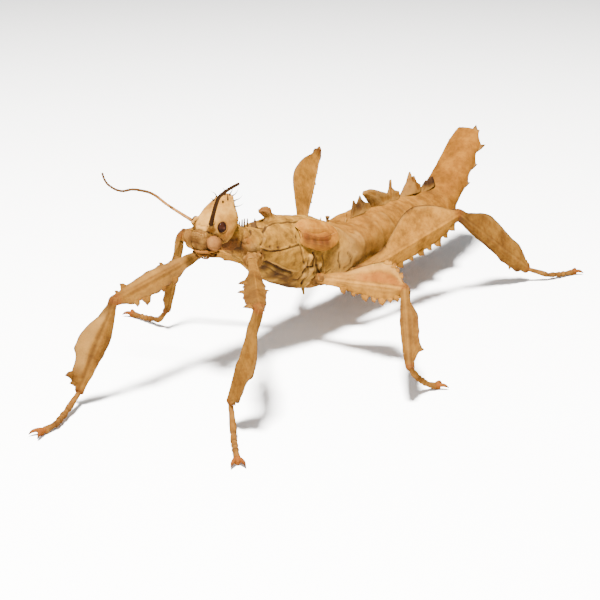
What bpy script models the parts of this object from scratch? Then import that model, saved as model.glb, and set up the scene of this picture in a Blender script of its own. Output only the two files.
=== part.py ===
"""Giant prickly stick insect, a grown female with short wing pads, as a life-size still model.

The animal faces -Y, its left side is at +X, and its six feet stand on the floor at z = 0.
Shapes are drawn in millimetres of a 95 mm long animal. bring_to_life_size() makes them
metres, scales them by LIFE_SIZE and puts the origin on the floor under the middle.
"""

import math

import bmesh
import bpy
from mathutils import Matrix, Vector

# ---- driving dimensions (mm) -------------------------------------------------------------

MM = 0.001
LIFE_SIZE = 1.15
GAP = 0.27  # clear space between neighbouring solids, 0.3 mm at life size
EDGE = 0.26  # half the thickness of a leg blade at its edge
WEB = 0.40  # half the thickness of a leg blade between its edge and its rib

# Trunk and abdomen: rings of (y, z, half width, height above, depth below, slope in degrees).
PROTHORAX = (
    (-0.2, 25.9, 1.7, 1.5, 1.6, -10),
    (2.2, 25.3, 2.1, 1.8, 1.9, -16),
    (3.8, 24.6, 3.0, 2.5, 2.6, -22),
    (6.0, 23.6, 3.7, 3.2, 3.4, -28),
)
MESOTHORAX = (
    (6.6, 23.4, 4.1, 4.2, 3.9, -28),
    (9.6, 22.0, 4.8, 5.3, 5.3, -24),
    (12.6, 20.9, 5.3, 5.7, 6.2, -18),
    (15.8, 19.6, 5.6, 6.5, 6.6, -12),
    (18.6, 18.6, 5.9, 6.9, 6.9, -9),
    (20.9, 17.9, 6.0, 7.0, 7.0, -7),
)
METATHORAX = (
    (21.5, 17.8, 6.1, 7.0, 7.1, -7),
    (25.5, 17.0, 6.3, 6.8, 6.9, -5),
    (29.0, 16.5, 6.4, 6.5, 6.6, -3),
    (32.8, 16.1, 6.3, 6.2, 6.3, -1),
)
ABDOMEN_FRONT = (
    (33.4, 15.9, 6.2, 6.1, 5.9, 0),
    (36.2, 15.8, 6.0, 5.7, 5.8, 0),
    (38.3, 15.8, 6.3, 5.7, 5.9, 0),
    (41.6, 15.8, 6.1, 5.5, 5.9, 0),
    (42.8, 15.8, 6.4, 5.6, 5.9, 0),
    (46.2, 15.6, 6.0, 5.2, 5.7, 0),
)
ABDOMEN_MIDDLE = (
    (46.8, 15.6, 6.1, 5.3, 5.7, 0),
    (49.8, 15.5, 5.8, 5.3, 5.5, 0),
    (51.6, 15.4, 6.1, 5.3, 5.5, 0),
    (54.9, 15.2, 5.6, 5.1, 5.2, 0),
    (58.6, 15.0, 5.9, 5.2, 5.1, 0),
    (61.0, 14.9, 5.4, 4.9, 4.9, 0),
)
ABDOMEN_REAR = (
    (61.6, 14.9, 5.5, 4.9, 4.9, 0),
    (64.4, 14.8, 5.1, 4.6, 4.6, 4),
    (67.4, 15.1, 5.4, 4.4, 4.3, 14),
    (70.4, 16.0, 4.9, 3.7, 3.9, 28),
)
ABDOMEN_TAIL = (
    (70.9, 16.3, 4.7, 3.5, 3.8, 30),
    (73.2, 17.9, 4.4, 3.0, 3.4, 41),
    (75.2, 19.6, 4.2, 2.7, 2.9, 46),
    (76.9, 21.3, 4.1, 2.3, 2.4, 49),
    (78.4, 22.8, 4.0, 2.0, 2.1, 51),
    (79.9, 24.6, 3.8, 1.7, 1.8, 53),
    (81.3, 26.3, 3.6, 1.4, 1.4, 55),
    (82.6, 28.0, 3.0, 1.0, 1.0, 57),
    (83.4, 29.1, 2.3, 0.7, 0.7, 58),
)

# Keel lobes along the back and lobes along the flanks: ring y to (height, reach backwards).
KEEL = {38.3: (2.2, -0.6), 42.8: (3.2, -1.2), 51.6: (3.2, 0.2), 58.6: (3.4, -0.6), 67.4: (1.7, -0.8)}
FLANK = {38.3: 0.8, 42.8: 0.9, 51.6: 1.5, 58.6: 1.8, 67.4: 1.7,
         75.2: 0.9, 78.4: 1.0, 81.3: 1.0, 83.4: 0.6}
FLANK_OUT, FLANK_DOWN, FLANK_BACK = 0.6, 0.8, 0.4  # how a flank lobe's height is spread

# Points round a body ring, in degrees from the top: the keel at 0, the flanks at 100 and 260.
KEEL_ANGLE = 0
FLANK_ANGLES = (100, 260)
RING_ANGLES = (KEEL_ANGLE, 9, 32, 58, 80, FLANK_ANGLES[0], 125, 153,
               180, 207, 235, FLANK_ANGLES[1], 280, 302, 328, 351)

# Spines and lobes of the trunk: (foot on the body, tip, width below, width at the tip).
PROTHORAX_SPINES = (
    ((-1.2, 5.2, 27.0), (-1.4, 4.2, 28.6), 0.45, 0.2),
    ((1.2, 5.2, 27.0), (1.3, 4.6, 28.4), 0.45, 0.2),
)
MESOTHORAX_SPINES = (
    ((-1.2, 13.0, 26.2), (-1.0, 12.0, 28.0), 1.3, 1.8),
    ((1.6, 8.6, 26.8), (0.9, 8.2, 28.0), 0.7, 0.2),
    ((-0.4, 19.8, 25.0), (-0.4, 20.6, 26.4), 0.7, 0.35),
    ((3.4, 16.8, 12.9), (3.8, 16.8, 11.6), 0.7, 0.3),
)
METATHORAX_SPINES = (
    ((-0.4, 23.5, 24.1), (-0.3, 23.6, 25.5), 0.8, 0.5),
    ((-0.4, 30.9, 22.6), (-0.3, 29.6, 24.2), 0.7, 0.3),
)

# Head: rings of (z, y, half depth, half width) from the jaws up to the crest.
HEAD = (
    (26.5, -3.2, 2.2, 2.4),
    (27.2, -3.3, 2.8, 2.9),
    (28.4, -3.2, 3.7, 3.3),
    (29.8, -2.7, 3.75, 3.2),
    (31.1, -2.0, 3.0, 2.7),
    (32.3, -1.0, 2.1, 2.0),
    (33.1, -0.2, 1.4, 1.35),
    (33.6, 0.3, 0.7, 0.7),
)
HEAD_SIDES = 16
CREST_SPINES = (
    ((0.9, -0.4, 33.3), (0.4, 0.9, 35.0), 0.4, 0.2),
    ((-0.9, -0.4, 33.3), (-0.4, -1.1, 35.0), 0.4, 0.2),
    ((-1.6, -2.2, 32.7), (-1.2, -2.6, 34.0), 0.4, 0.2),
    ((1.6, 0.4, 32.8), (2.2, 1.4, 33.4), 0.4, 0.2),
    ((1.7, -2.4, 32.0), (2.1, -3.3, 32.6), 0.4, 0.2),
    ((-1.6, 0.4, 32.8), (-2.2, 1.2, 33.4), 0.4, 0.2),
    ((1.6, -5.6, 30.3), (1.8, -6.2, 30.5), 1.3, 1.0),
    ((-1.6, -5.6, 30.3), (-1.8, -6.2, 30.5), 1.3, 1.0),
)

# Rounded pieces of the head: centre and three radii. Of a pair, the left one.
EYE = ((2.75, -4.45, 29.6), (0.75, 0.85, 0.95))
MANDIBLE = ((1.7, -5.5, 26.9), (1.2, 1.2, 1.4))
LABRUM = ((0, -6.3, 26.3), (0.75, 0.7, 1.2))
LABIUM = ((0, -4.7, 24.9), (1.9, 1.6, 0.6))

# Each leg: coxa root, femur base, knee and ankle, then the path of the foot over the floor,
# then the roll of the femur and tibia blades about their own length, in degrees.
LEGS = {
    "fore_left": (
        ((2.4, 5.4, 21.0), (3.3, 2.4, 22.3), (17.8, -14.2, 22.1), (11.8, -14.3, 4.7)),
        ((13.0, -15.3, 2.2), (15.4, -18.0, 0.9), (19.5, -22.3, 0.7)), -77, -19),
    "fore_right": (
        ((-2.6, 5.2, 22.4), (-3.6, 3.0, 23.9), (-7.8, -18.9, 19.2), (-13.9, -22.2, 2.6)),
        ((-12.4, -26.8, 1.3), (-11.0, -30.3, 1.0), (-11.2, -33.0, 0.7)), 50, 45),
    "middle_left": (
        ((4.6, 19.4, 12.9), (6.0, 18.7, 14.6), (22.5, 20.5, 15.7), (30.7, 9.0, 7.3)),
        ((29.7, 13.3, 3.7), (29.9, 16.2, 1.6), (30.8, 17.8, 0.7)), 30, 0),
    "middle_right": (
        ((-4.6, 19.4, 12.9), (-6.0, 18.7, 14.6), (-18.8, 9.7, 20.7), (-23.9, 10.6, 4.1)),
        ((-26.5, 11.1, 1.6), (-30.6, 11.7, 0.9), (-34.0, 12.0, 0.7)), 0, -60),
    "hind_left": (
        ((5.4, 28.4, 11.6), (6.8, 30.4, 12.6), (13.3, 55.4, 18.8), (20.0, 75.1, 3.2)),
        ((23.0, 79.1, 1.3), (24.4, 82.2, 0.9), (25.9, 85.6, 0.7)), 0, 0),
    "hind_right": (
        ((-5.8, 28.0, 11.6), (-7.8, 29.7, 12.6), (-17.4, 51.3, 27.7), (-28.0, 57.5, 4.0)),
        ((-31.0, 60.4, 1.3), (-34.2, 62.3, 0.9), (-37.8, 64.0, 0.7)), -26, 0),
}

# Blades: outer and inner half widths as (part of the length, mm), teeth heights in order along
# the stretch from TEETH_FROM to TEETH_TO, half thickness of the rib, arching, bow of the rib.
BLADES = {
    "fore_femur": {
        "outer": ((0, 0.7), (0.3, 0.8), (0.5, 1.1), (0.7, 1.5), (0.9, 1.1), (1, 0.8)),
        "inner": ((0, 0.7), (0.3, 0.8), (0.5, 1.4), (0.7, 1.9), (0.9, 1.9), (1, 0.8)),
        "outer_teeth": (0.2, 0.4, 0.5, 0.4, 0.2, 0.2), "inner_teeth": (0.2, 0.6, 0.8, 0.8, 0.6, 0.4),
        "rib": 0.85, "arch": 0.4, "bow": 0.0},
    "fore_tibia": {
        "outer": ((0, 0.7), (0.15, 1.6), (0.32, 3.4), (0.48, 4.1), (0.66, 3.2), (0.84, 2.6), (1, 0.7)),
        "inner": ((0, 0.6), (0.14, 0.8), (0.34, 1.2), (0.5, 1.1), (0.7, 0.7), (1, 0.6)),
        "outer_teeth": (0.0, 0.0, 0.5, 0.0, 0.1, 0.9), "inner_teeth": (0.1, 0.1, 0.2, 0.1, 0.1, 0.0),
        "rib": 0.7, "arch": 0.5, "bow": 0.5},
    "middle_femur": {
        "outer": ((0, 0.8), (0.3, 2.0), (0.5, 3.5), (0.68, 4.5), (0.84, 4.0), (0.95, 2.2), (1, 1.0)),
        "inner": ((0, 0.8), (0.3, 1.2), (0.55, 1.7), (0.8, 2.0), (0.93, 1.5), (1, 0.9)),
        "outer_teeth": (0.1, 0.1, 0.1, 0.3, 0.4, 0.4), "inner_teeth": (0.3, 0.5, 0.6, 0.7, 0.8, 0.7),
        "rib": 0.9, "arch": 0.7, "bow": 0.0},
    "middle_tibia": {
        "outer": ((0, 0.6), (0.14, 1.0), (0.36, 2.3), (0.58, 2.2), (0.8, 2.1), (0.92, 1.1), (1, 0.7)),
        "inner": ((0, 0.6), (0.2, 0.7), (0.4, 0.8), (0.7, 0.8), (1, 0.7)),
        "outer_teeth": (0.1, 0.1, 0.3, 0.1, 0.6, 0.1), "inner_teeth": (0.0, 0.1, 0.0, 0.1, 0.1, 0.0),
        "rib": 0.7, "arch": 0.4, "bow": 0.3},
    "hind_femur": {
        "outer": ((0, 1.0), (0.22, 1.4), (0.42, 4.2), (0.6, 5.9), (0.8, 4.6), (0.95, 2.0), (1, 1.1)),
        "inner": ((0, 0.9), (0.2, 2.0), (0.42, 3.1), (0.6, 3.1), (0.8, 3.1), (0.93, 1.9), (1, 1.0)),
        "outer_teeth": (0.0, 0.0, 0.0, 0.1, 0.1, 0.1), "inner_teeth": (0.4, 0.5, 0.6, 0.7, 0.8, 0.8),
        "rib": 1.0, "arch": 0.8, "bow": 0.0},
    "hind_tibia": {
        "outer": ((0, 0.8), (0.14, 2.6), (0.3, 4.7), (0.48, 4.9), (0.66, 3.9), (0.84, 3.3), (1, 0.8)),
        "inner": ((0, 0.7), (0.25, 0.9), (0.5, 1.1), (0.7, 1.6), (0.88, 1.5), (1, 0.9)),
        "outer_teeth": (0.0, 0.0, 0.1, 0.1, 0.2, 0.1), "inner_teeth": (0.1, 0.1, 0.1, 0.6, 0.4, 0.8),
        "rib": 0.8, "arch": 0.5, "bow": 0.4},
}
TEETH_FROM = 0.28
TEETH_TO = 0.95
TOOTH_PEAK = 0.62  # place of a tooth's point within its own stretch

# Coxae and feet: radii.
COXA_ROOT, COXA_END = 1.5, 1.05
TARSUS, TARSUS_SWELL = 0.42, 0.14
TARSUS_RINGS = 12
PAD = (0.9, 0.9, 0.95)
PAD_AHEAD = 0.7
CLAW_ROOT, CLAW_TAPER, CLAW_LENGTH, CLAW_SPREAD, CLAW_ARCH = 0.45, 0.19, 1.9, 0.75, 0.35
CLAW_RINGS = 4

# Wing pads: stretch along the trunk, then middle and half width as angles from the top.
WING_FROM, WING_TO = 13.0, 24.2
WING_MIDDLE, WING_SPREAD = 54, 26
WING_ROWS, WING_COLUMNS = 9, 6
WING_LIFT, WING_CROWN, WING_THICKNESS = 0.62, 0.3, 0.45

# Feelers: radius of the socket joint, the stem and the taper, then points to the tip.
FEELER_ROOT, FEELER_STEM, FEELER_TAPER = 0.5, 0.34, 0.10
FEELERS = {
    "left": ((1.9, -6.4, 30.7), (3.1, -6.9, 32.6), (4.5, -7.8, 34.6), (5.7, -8.6, 36.1),
             (7.1, -9.3, 37.1), (9.9, -10.9, 38.8), (13.0, -12.7, 40.5)),
    "right": ((-2.2, -6.6, 30.9), (-5.3, -8.2, 32.9), (-7.7, -9.2, 34.6), (-9.6, -9.7, 35.0),
              (-11.2, -10.2, 35.0), (-12.9, -11.0, 34.6), (-14.5, -11.8, 35.4), (-15.4, -12.0, 36.3),
              (-16.0, -11.9, 37.4)),
}


# ---- materials ---------------------------------------------------------------------------

def material(name, colour, roughness):
    """One Principled material with the colour of a body part."""
    made = bpy.data.materials.new(name)
    made.use_nodes = True
    shader = made.node_tree.nodes["Principled BSDF"]
    shader.inputs["Base Color"].default_value = (*colour, 1.0)
    shader.inputs["Roughness"].default_value = roughness
    shader.inputs["Metallic"].default_value = 0.0
    return made


def make_materials():
    """The finishes of the animal, by name."""
    return {
        "head": material("head", (0.62, 0.36, 0.15), 0.5),
        "trunk": material("trunk", (0.55, 0.34, 0.16), 0.6),
        "abdomen": material("abdomen", (0.57, 0.32, 0.13), 0.6),
        "wing": material("wing", (0.62, 0.30, 0.12), 0.55),
        "leg": material("leg", (0.62, 0.39, 0.18), 0.55),
        "foot": material("foot", (0.63, 0.34, 0.17), 0.5),
        "eye": material("eye", (0.07, 0.015, 0.01), 0.1),
        "feeler": material("feeler", (0.10, 0.05, 0.025), 0.5),
        "mouth": material("mouth", (0.45, 0.20, 0.10), 0.5),
    }


# ---- mesh helpers ------------------------------------------------------------------------

def between(points, t):
    """Height at t of the smooth curve through (t, value) points."""
    for i in range(len(points) - 1):
        if t <= points[i + 1][0]:
            break
    (t1, v1), (t2, v2) = points[i], points[i + 1]
    t0, v0 = points[i - 1] if i > 0 else (t1, v1)
    t3, v3 = points[i + 2] if i + 2 < len(points) else (t2, v2)
    span = t2 - t1
    start = (v2 - v0) / (t2 - t0) * span
    end = (v3 - v1) / (t3 - t1) * span
    s = (t - t1) / span
    return ((2 * s**3 - 3 * s**2 + 1) * v1 + (s**3 - 2 * s**2 + s) * start
            + (3 * s**2 - 2 * s**3) * v2 + (s**3 - s**2) * end)


def loft(rings):
    """Closed mesh through rings of equally many points, with flat ends."""
    bm = bmesh.new()
    rows = [[bm.verts.new(point) for point in ring] for ring in rings]
    count = len(rings[0])
    for low, high in zip(rows, rows[1:]):
        for i in range(count):
            j = (i + 1) % count
            bm.faces.new((low[i], low[j], high[j], high[i]))
    bm.faces.new(rows[0][::-1])
    bm.faces.new(rows[-1])
    bmesh.ops.recalc_face_normals(bm, faces=bm.faces)
    return bm


def to_object(name, bm, finish):
    """Object of the animal made from a bmesh, in its own material."""
    mesh = bpy.data.meshes.new(name)
    bm.to_mesh(mesh)
    bm.free()
    made = bpy.data.objects.new(name, mesh)
    mesh.materials.append(finish)
    bpy.data.collections["giant_stick_insect"].objects.link(made)
    return made


def cutter_round(made):
    """Wire copy of an object, GAP larger all round, that keeps its neighbours clear of it."""
    cutter = bpy.data.objects.new(f"round_{made.name}", made.data.copy())
    bpy.data.collections["cutters"].objects.link(cutter)
    cutter.hide_render = True
    cutter.display_type = "WIRE"
    bm = bmesh.new()
    bm.from_mesh(cutter.data)
    bm.normal_update()
    moves = [vert.normal * vert.calc_shell_factor() * GAP for vert in bm.verts]
    for vert, move in zip(bm.verts, moves):
        vert.co += move
    bm.to_mesh(cutter.data)
    bm.free()
    return cutter


def apply_modifiers(made):
    """Make the evaluated shape the object's own mesh."""
    evaluated = made.evaluated_get(bpy.context.evaluated_depsgraph_get())
    mesh = bpy.data.meshes.new_from_object(evaluated)
    made.modifiers.clear()
    old = made.data
    made.data = mesh
    bpy.data.meshes.remove(old)
    mesh.name = made.name


def apply_boolean(target, tool, operation):
    """Join or cut the target with the tool."""
    step = target.modifiers.new("step", "BOOLEAN")
    step.operation = operation
    step.object = tool
    apply_modifiers(target)


def clear_of(target, *neighbours):
    """Cut the target back until it stands GAP away from its neighbours, given by name."""
    for neighbour in neighbours:
        apply_boolean(target, bpy.data.objects[f"round_{neighbour}"], "DIFFERENCE")


def raise_lobe(bm, base, tip, foot, top):
    """Grow a lobe from the face nearest to base: foot wide below, top wide at its tip."""
    base = Vector(base)
    tip = Vector(tip)
    face = min(bm.faces, key=lambda f: (f.calc_center_median() - base).length)
    reach = min(edge.calc_length() for edge in face.edges)
    bmesh.ops.inset_individual(bm, faces=[face], thickness=0.2 * reach)
    centre = face.calc_center_median()
    for vert in face.verts:
        vert.co = centre + (vert.co - centre).normalized() * min(0.7 * foot, 0.4 * reach)
    grown = bmesh.ops.extrude_discrete_faces(bm, faces=[face])["faces"][0]
    centre = grown.calc_center_median()
    width = max(edge.calc_length() for edge in grown.edges)
    for vert in grown.verts:
        vert.co = tip + (vert.co - centre) * (top / width)
    bm.normal_update()


def tube_ring(centre, along, radius, sides, squash=1.0):
    """Ring of points square to a direction."""
    frame = along.normalized().to_track_quat("Z", "Y").to_matrix()
    return [centre + frame @ Vector((radius * math.cos(a), radius * squash * math.sin(a), 0))
            for a in (math.tau * i / sides for i in range(sides))]


def ellipsoid(centre, radii, segments, rings):
    """Closed ball stretched to three radii."""
    bm = bmesh.new()
    bmesh.ops.create_uvsphere(bm, u_segments=segments, v_segments=rings, radius=1.0)
    bmesh.ops.scale(bm, vec=radii, verts=bm.verts)
    bmesh.ops.translate(bm, vec=centre, verts=bm.verts)
    return bm


# ---- trunk and abdomen -------------------------------------------------------------------

def body_point(station, turn, keel=0.0, back=0.0, flank=0.0):
    """Point on a body ring, turn radians round from the top, with its lobes added."""
    y, z, width, above, below, slope = station
    lean = math.radians(slope)
    along = Vector((0, math.cos(lean), math.sin(lean)))
    upward = Vector((0, -math.sin(lean), math.cos(lean)))
    height = above if math.cos(turn) > 0 else below
    side = width * math.sin(turn) + math.copysign(FLANK_OUT * flank, math.sin(turn))
    rise = height * math.cos(turn) + keel - FLANK_DOWN * flank
    return Vector((side, y, z)) + upward * rise + along * (back + FLANK_BACK * flank)


def body_ring(station):
    """Ring of a body station; keel and flank lobes stand out of it."""
    keel, back = KEEL.get(station[0], (0.0, 0.0))
    flank = FLANK.get(station[0], 0.0)
    ring = []
    for angle in RING_ANGLES:
        turn = math.radians(angle)
        if angle == KEEL_ANGLE:
            ring.append(body_point(station, turn, keel=keel, back=back))
        elif angle in FLANK_ANGLES:
            ring.append(body_point(station, turn, flank=flank))
        else:
            ring.append(body_point(station, turn))
    return ring


def make_trunk(finish):
    """Prothorax, mesothorax and metathorax with the spines of the back and belly."""
    for name, stations, spines in (
        ("prothorax", PROTHORAX, PROTHORAX_SPINES),
        ("mesothorax", MESOTHORAX, MESOTHORAX_SPINES),
        ("metathorax", METATHORAX, METATHORAX_SPINES),
    ):
        bm = loft([body_ring(station) for station in stations])
        for spine in spines:
            raise_lobe(bm, *spine)
        cutter_round(to_object(name, bm, finish))


def make_abdomen(finish):
    """The abdomen in four lengths, the last one flattened into the raised tail."""
    for name, stations in (
        ("abdomen_front", ABDOMEN_FRONT),
        ("abdomen_middle", ABDOMEN_MIDDLE),
        ("abdomen_rear", ABDOMEN_REAR),
        ("abdomen_tail", ABDOMEN_TAIL),
    ):
        cutter_round(to_object(name, loft([body_ring(station) for station in stations]), finish))


def trunk_station(y):
    """Body station between the tabled ones of the thorax."""
    stations = MESOTHORAX + METATHORAX
    return (y, *(between(tuple((row[0], row[k]) for row in stations), y) for k in range(1, 6)))


def make_wing_pads(finish):
    """Short leaf-like fore wings lying over the flanks of the thorax."""
    for side, name in ((1, "wing_pad_left"), (-1, "wing_pad_right")):
        bm = bmesh.new()
        grid = []
        for row in range(WING_ROWS):
            t = row / (WING_ROWS - 1)
            station = trunk_station(WING_FROM + (WING_TO - WING_FROM) * t)
            # A blunt front end, the full width before the middle and a rounder rear end.
            spread = WING_SPREAD * math.sin(math.pi * (0.16 + 0.78 * t)) ** 0.55
            line = []
            for column in range(WING_COLUMNS):
                u = column / (WING_COLUMNS - 1)
                turn = math.radians(WING_MIDDLE + spread * (2 * u - 1))
                point = body_point(station, turn)
                outward = (point - Vector((0, station[0], station[1]))).normalized()
                point += outward * (WING_LIFT + WING_CROWN * math.sin(math.pi * u))
                line.append(bm.verts.new((point.x * side, point.y, point.z)))
            grid.append(line)
        for low_line, high_line in zip(grid, grid[1:]):
            for i in range(WING_COLUMNS - 1):
                bm.faces.new((low_line[i], low_line[i + 1], high_line[i + 1], high_line[i]))
        bmesh.ops.recalc_face_normals(bm, faces=bm.faces)
        bm.normal_update()
        if sum(face.normal.x for face in bm.faces) * side < 0:
            bmesh.ops.reverse_faces(bm, faces=bm.faces)
        made = to_object(name, bm, finish)
        shell = made.modifiers.new("shell", "SOLIDIFY")
        shell.thickness = WING_THICKNESS
        shell.offset = 1.0
        apply_modifiers(made)


# ---- head --------------------------------------------------------------------------------

def make_feeler(name, points, finish):
    """Tapering feeler through its points, thickest in its socket."""
    rings = []
    for i, point in enumerate(points):
        ahead = points[min(i + 1, len(points) - 1)] - points[max(i - 1, 0)]
        radius = FEELER_ROOT if i == 0 else FEELER_STEM - FEELER_TAPER * i / (len(points) - 1)
        rings.append(tube_ring(point, ahead, radius, 6))
    return to_object(name, loft(rings), finish)


def make_ball(name, piece, side, rings, finish):
    """Rounded piece of the head, on the left for side 1 and on the right for side -1."""
    (x, y, z), radii = piece
    return to_object(name, ellipsoid((x * side, y, z), radii, 10, rings), finish)


def make_head(finishes):
    """Helmet-shaped head with its thorny crest, eyes, mouthparts and feelers."""
    turns = [math.tau * i / HEAD_SIDES for i in range(HEAD_SIDES)]
    bm = loft([[Vector((width * math.cos(a), y + depth * math.sin(a), z)) for a in turns]
               for z, y, depth, width in HEAD])
    for spine in CREST_SPINES:
        raise_lobe(bm, *spine)
    cutter_round(to_object("head", bm, finishes["head"]))

    for side, name in ((1, "left"), (-1, "right")):
        clear_of(make_ball(f"eye_{name}", EYE, side, 7, finishes["eye"]), "head")
        points = [Vector(point) for point in FEELERS[name]]
        clear_of(make_feeler(f"antenna_{name}", points, finishes["feeler"]), "head")
        jaw = make_ball(f"mandible_{name}", MANDIBLE, side, 6, finishes["mouth"])
        cutter_round(jaw)
        clear_of(jaw, "head")

    labrum = make_ball("labrum", LABRUM, 1, 6, finishes["mouth"])
    labium = make_ball("labium", LABIUM, 1, 6, finishes["mouth"])
    cutter_round(labrum)
    cutter_round(labium)
    clear_of(labrum, "head", "mandible_left", "mandible_right")
    clear_of(labium, "head", "mandible_left", "mandible_right", "labrum")
    clear_of(bpy.data.objects["prothorax"], "head", "labium")


# ---- legs --------------------------------------------------------------------------------

def blade(start, end, outward, roll, shape, trim):
    """Leaf-like leg segment: a rib from start to end with a thin toothed blade on each side."""
    length = (end - start).length
    along = (end - start) / length
    across = (outward - along * outward.dot(along)).normalized()
    across = Matrix.Rotation(math.radians(roll), 3, along) @ across
    normal = along.cross(across)
    teeth = len(shape["outer_teeth"])
    pitch = (TEETH_TO - TEETH_FROM) / teeth
    stations = [(0.0, None), (0.09, None), (0.18, None)]
    for tooth in range(teeth):
        stations.append((TEETH_FROM + pitch * tooth, None))
        stations.append((TEETH_FROM + pitch * (tooth + TOOTH_PEAK), tooth))
    stations += [(TEETH_TO, None), (1.0, None)]
    rings = []
    for t, tooth in stations:
        outer = between(shape["outer"], t)
        inner = between(shape["inner"], t)
        if tooth is not None:
            outer += shape["outer_teeth"][tooth]
            inner += shape["inner_teeth"][tooth]
        rib = shape["rib"] * (1.0 - 0.25 * t)
        reach = trim[0] + (length - trim[0] - trim[1]) * t
        centre = start + along * reach - across * shape["bow"] * math.sin(math.pi * t)
        rings.append([centre + across * w + normal * (n - shape["arch"] * (w / 4) ** 2)
                      for w, n in blade_section(outer, inner, rib)])
    return loft(rings)


def blade_section(outer, inner, rib):
    """Ten points round a leg: thin edges, a web on each side and a raised rib between them."""
    def edge(width):
        """Half thickness of the edge, which grows into the rib where the blade is narrow."""
        return EDGE + 0.5 * rib * max(0.0, 1.0 - max(0.0, width - rib) / (1.2 * rib))
    near = min(0.75 * rib, 0.5 * outer)
    far = min(0.75 * rib, 0.5 * inner)
    high = max(WEB, edge(outer))
    low = max(WEB, edge(inner))
    return ((outer, edge(outer)), (near, high), (0, rib), (-far, low), (-inner, edge(inner)),
            (-inner, -edge(inner)), (-far, -low), (0, -rib), (near, -high), (outer, -edge(outer)))


def tarsus_rings(points):
    """Rings along the foot's path, swelling at every joint."""
    lengths = [(b - a).length for a, b in zip(points, points[1:])]
    start = GAP * 2
    rings = []
    for step in range(TARSUS_RINGS):
        done = start + (sum(lengths) - start) * step / (TARSUS_RINGS - 1)
        i = 0
        while i < len(lengths) - 1 and done > lengths[i]:
            done -= lengths[i]
            i += 1
        point = points[i].lerp(points[i + 1], min(1.0, done / lengths[i]))
        rings.append(tube_ring(point, points[i + 1] - points[i], TARSUS + TARSUS_SWELL * (step % 2), 6))
    return rings


def claw_rings(tip, forward, outward):
    """Rings of one claw, arching ahead of the pad and out to its side."""
    rings = []
    for k in range(CLAW_RINGS):
        u = k / (CLAW_RINGS - 1)
        centre = tip + forward * (0.3 + CLAW_LENGTH * u) + outward * (0.3 + CLAW_SPREAD * u)
        centre.z += CLAW_ARCH * math.sin(math.pi * u) - 0.2 * u
        rings.append(tube_ring(centre, forward + outward * 0.5, CLAW_ROOT - CLAW_TAPER * u, 5))
    return rings


def cut_at_floor(made):
    """Cut away what is below the floor and close the cut with a flat."""
    bm = bmesh.new()
    bm.from_mesh(made.data)
    cut = bmesh.ops.bisect_plane(bm, geom=bm.verts[:] + bm.edges[:] + bm.faces[:],
                                 plane_co=(0, 0, 0), plane_no=(0, 0, -1), clear_outer=True)
    rim = [item for item in cut["geom_cut"] if isinstance(item, bmesh.types.BMEdge)]
    bmesh.ops.holes_fill(bm, edges=rim, sides=0)
    bmesh.ops.recalc_face_normals(bm, faces=bm.faces)
    bm.to_mesh(made.data)
    bm.free()


def make_foot(name, ankle, path, finish):
    """Jointed tarsus with a pad and two claws, cut flat where it stands."""
    points = [ankle] + [Vector(point) for point in path]
    foot = to_object(name, loft(tarsus_rings(points)), finish)
    tip = points[-1]
    forward = tip - points[-2]
    forward.z = 0
    forward.normalize()
    sideways = Vector((-forward.y, forward.x, 0))
    extras = [ellipsoid(tip + forward * PAD_AHEAD, PAD, 8, 6)]
    extras += [loft(claw_rings(tip, forward, sideways * side)) for side in (1, -1)]
    for bm in extras:
        extra = to_object("extra", bm, finish)
        apply_boolean(foot, extra, "UNION")
        bpy.data.objects.remove(extra)
    cut_at_floor(foot)
    return foot


def make_coxa(name, root, base, finish):
    """Tapering first joint, from inside the body to just short of the femur."""
    end = base - (base - root).normalized() * GAP
    steps = (0, 0.25, 0.5, 0.75, 1)
    rings = [tube_ring(root.lerp(end, t), base - root, COXA_ROOT + (COXA_END - COXA_ROOT) * t, 8)
             for t in steps]
    return to_object(name, loft(rings), finish)


def make_legs(finishes):
    """Coxa, femur, tibia and tarsus of the six legs."""
    carriers = {"fore": ("prothorax", "mesothorax"), "middle": ("mesothorax", "metathorax"),
                "hind": ("metathorax", "abdomen_front")}
    for name, (joints, path, femur_roll, tibia_roll) in LEGS.items():
        pair = name.split("_")[0]
        root, base, knee, ankle = (Vector(joint) for joint in joints)
        coxa = make_coxa(f"coxa_{name}", root, base, finishes["leg"])
        cutter_round(coxa)
        clear_of(coxa, *carriers[pair])

        # The femur's outer blade faces away from the side to which the knee bends.
        thigh = (knee - base).normalized()
        bend = (ankle - knee).normalized()
        outward = thigh * bend.dot(thigh) - bend
        mesh = blade(base, knee, outward, femur_roll, BLADES[f"{pair}_femur"], (0.3, 0.45))
        femur = to_object(f"femur_{name}", mesh, finishes["leg"])
        cutter_round(femur)
        clear_of(femur, f"coxa_{name}", *carriers[pair])

        mesh = blade(knee, ankle, knee - base, tibia_roll, BLADES[f"{pair}_tibia"], (0.45, 0.3))
        tibia = to_object(f"tibia_{name}", mesh, finishes["leg"])
        cutter_round(tibia)
        clear_of(tibia, f"femur_{name}")
        clear_of(make_foot(f"tarsus_{name}", ankle, path, finishes["foot"]), f"tibia_{name}")


# ---- the whole animal --------------------------------------------------------------------

def bring_to_life_size():
    """Bring every object to metres and life size, with the origin under the middle."""
    parts = bpy.data.collections["giant_stick_insect"].objects
    corners = [vert.co for part in parts for vert in part.data.vertices]
    middle = Vector(((min(c.x for c in corners) + max(c.x for c in corners)) / 2,
                     (min(c.y for c in corners) + max(c.y for c in corners)) / 2, 0))
    for part in parts:
        part.data.transform(Matrix.Scale(MM * LIFE_SIZE, 4) @ Matrix.Translation(-middle))
        part.data.shade_smooth()


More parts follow.
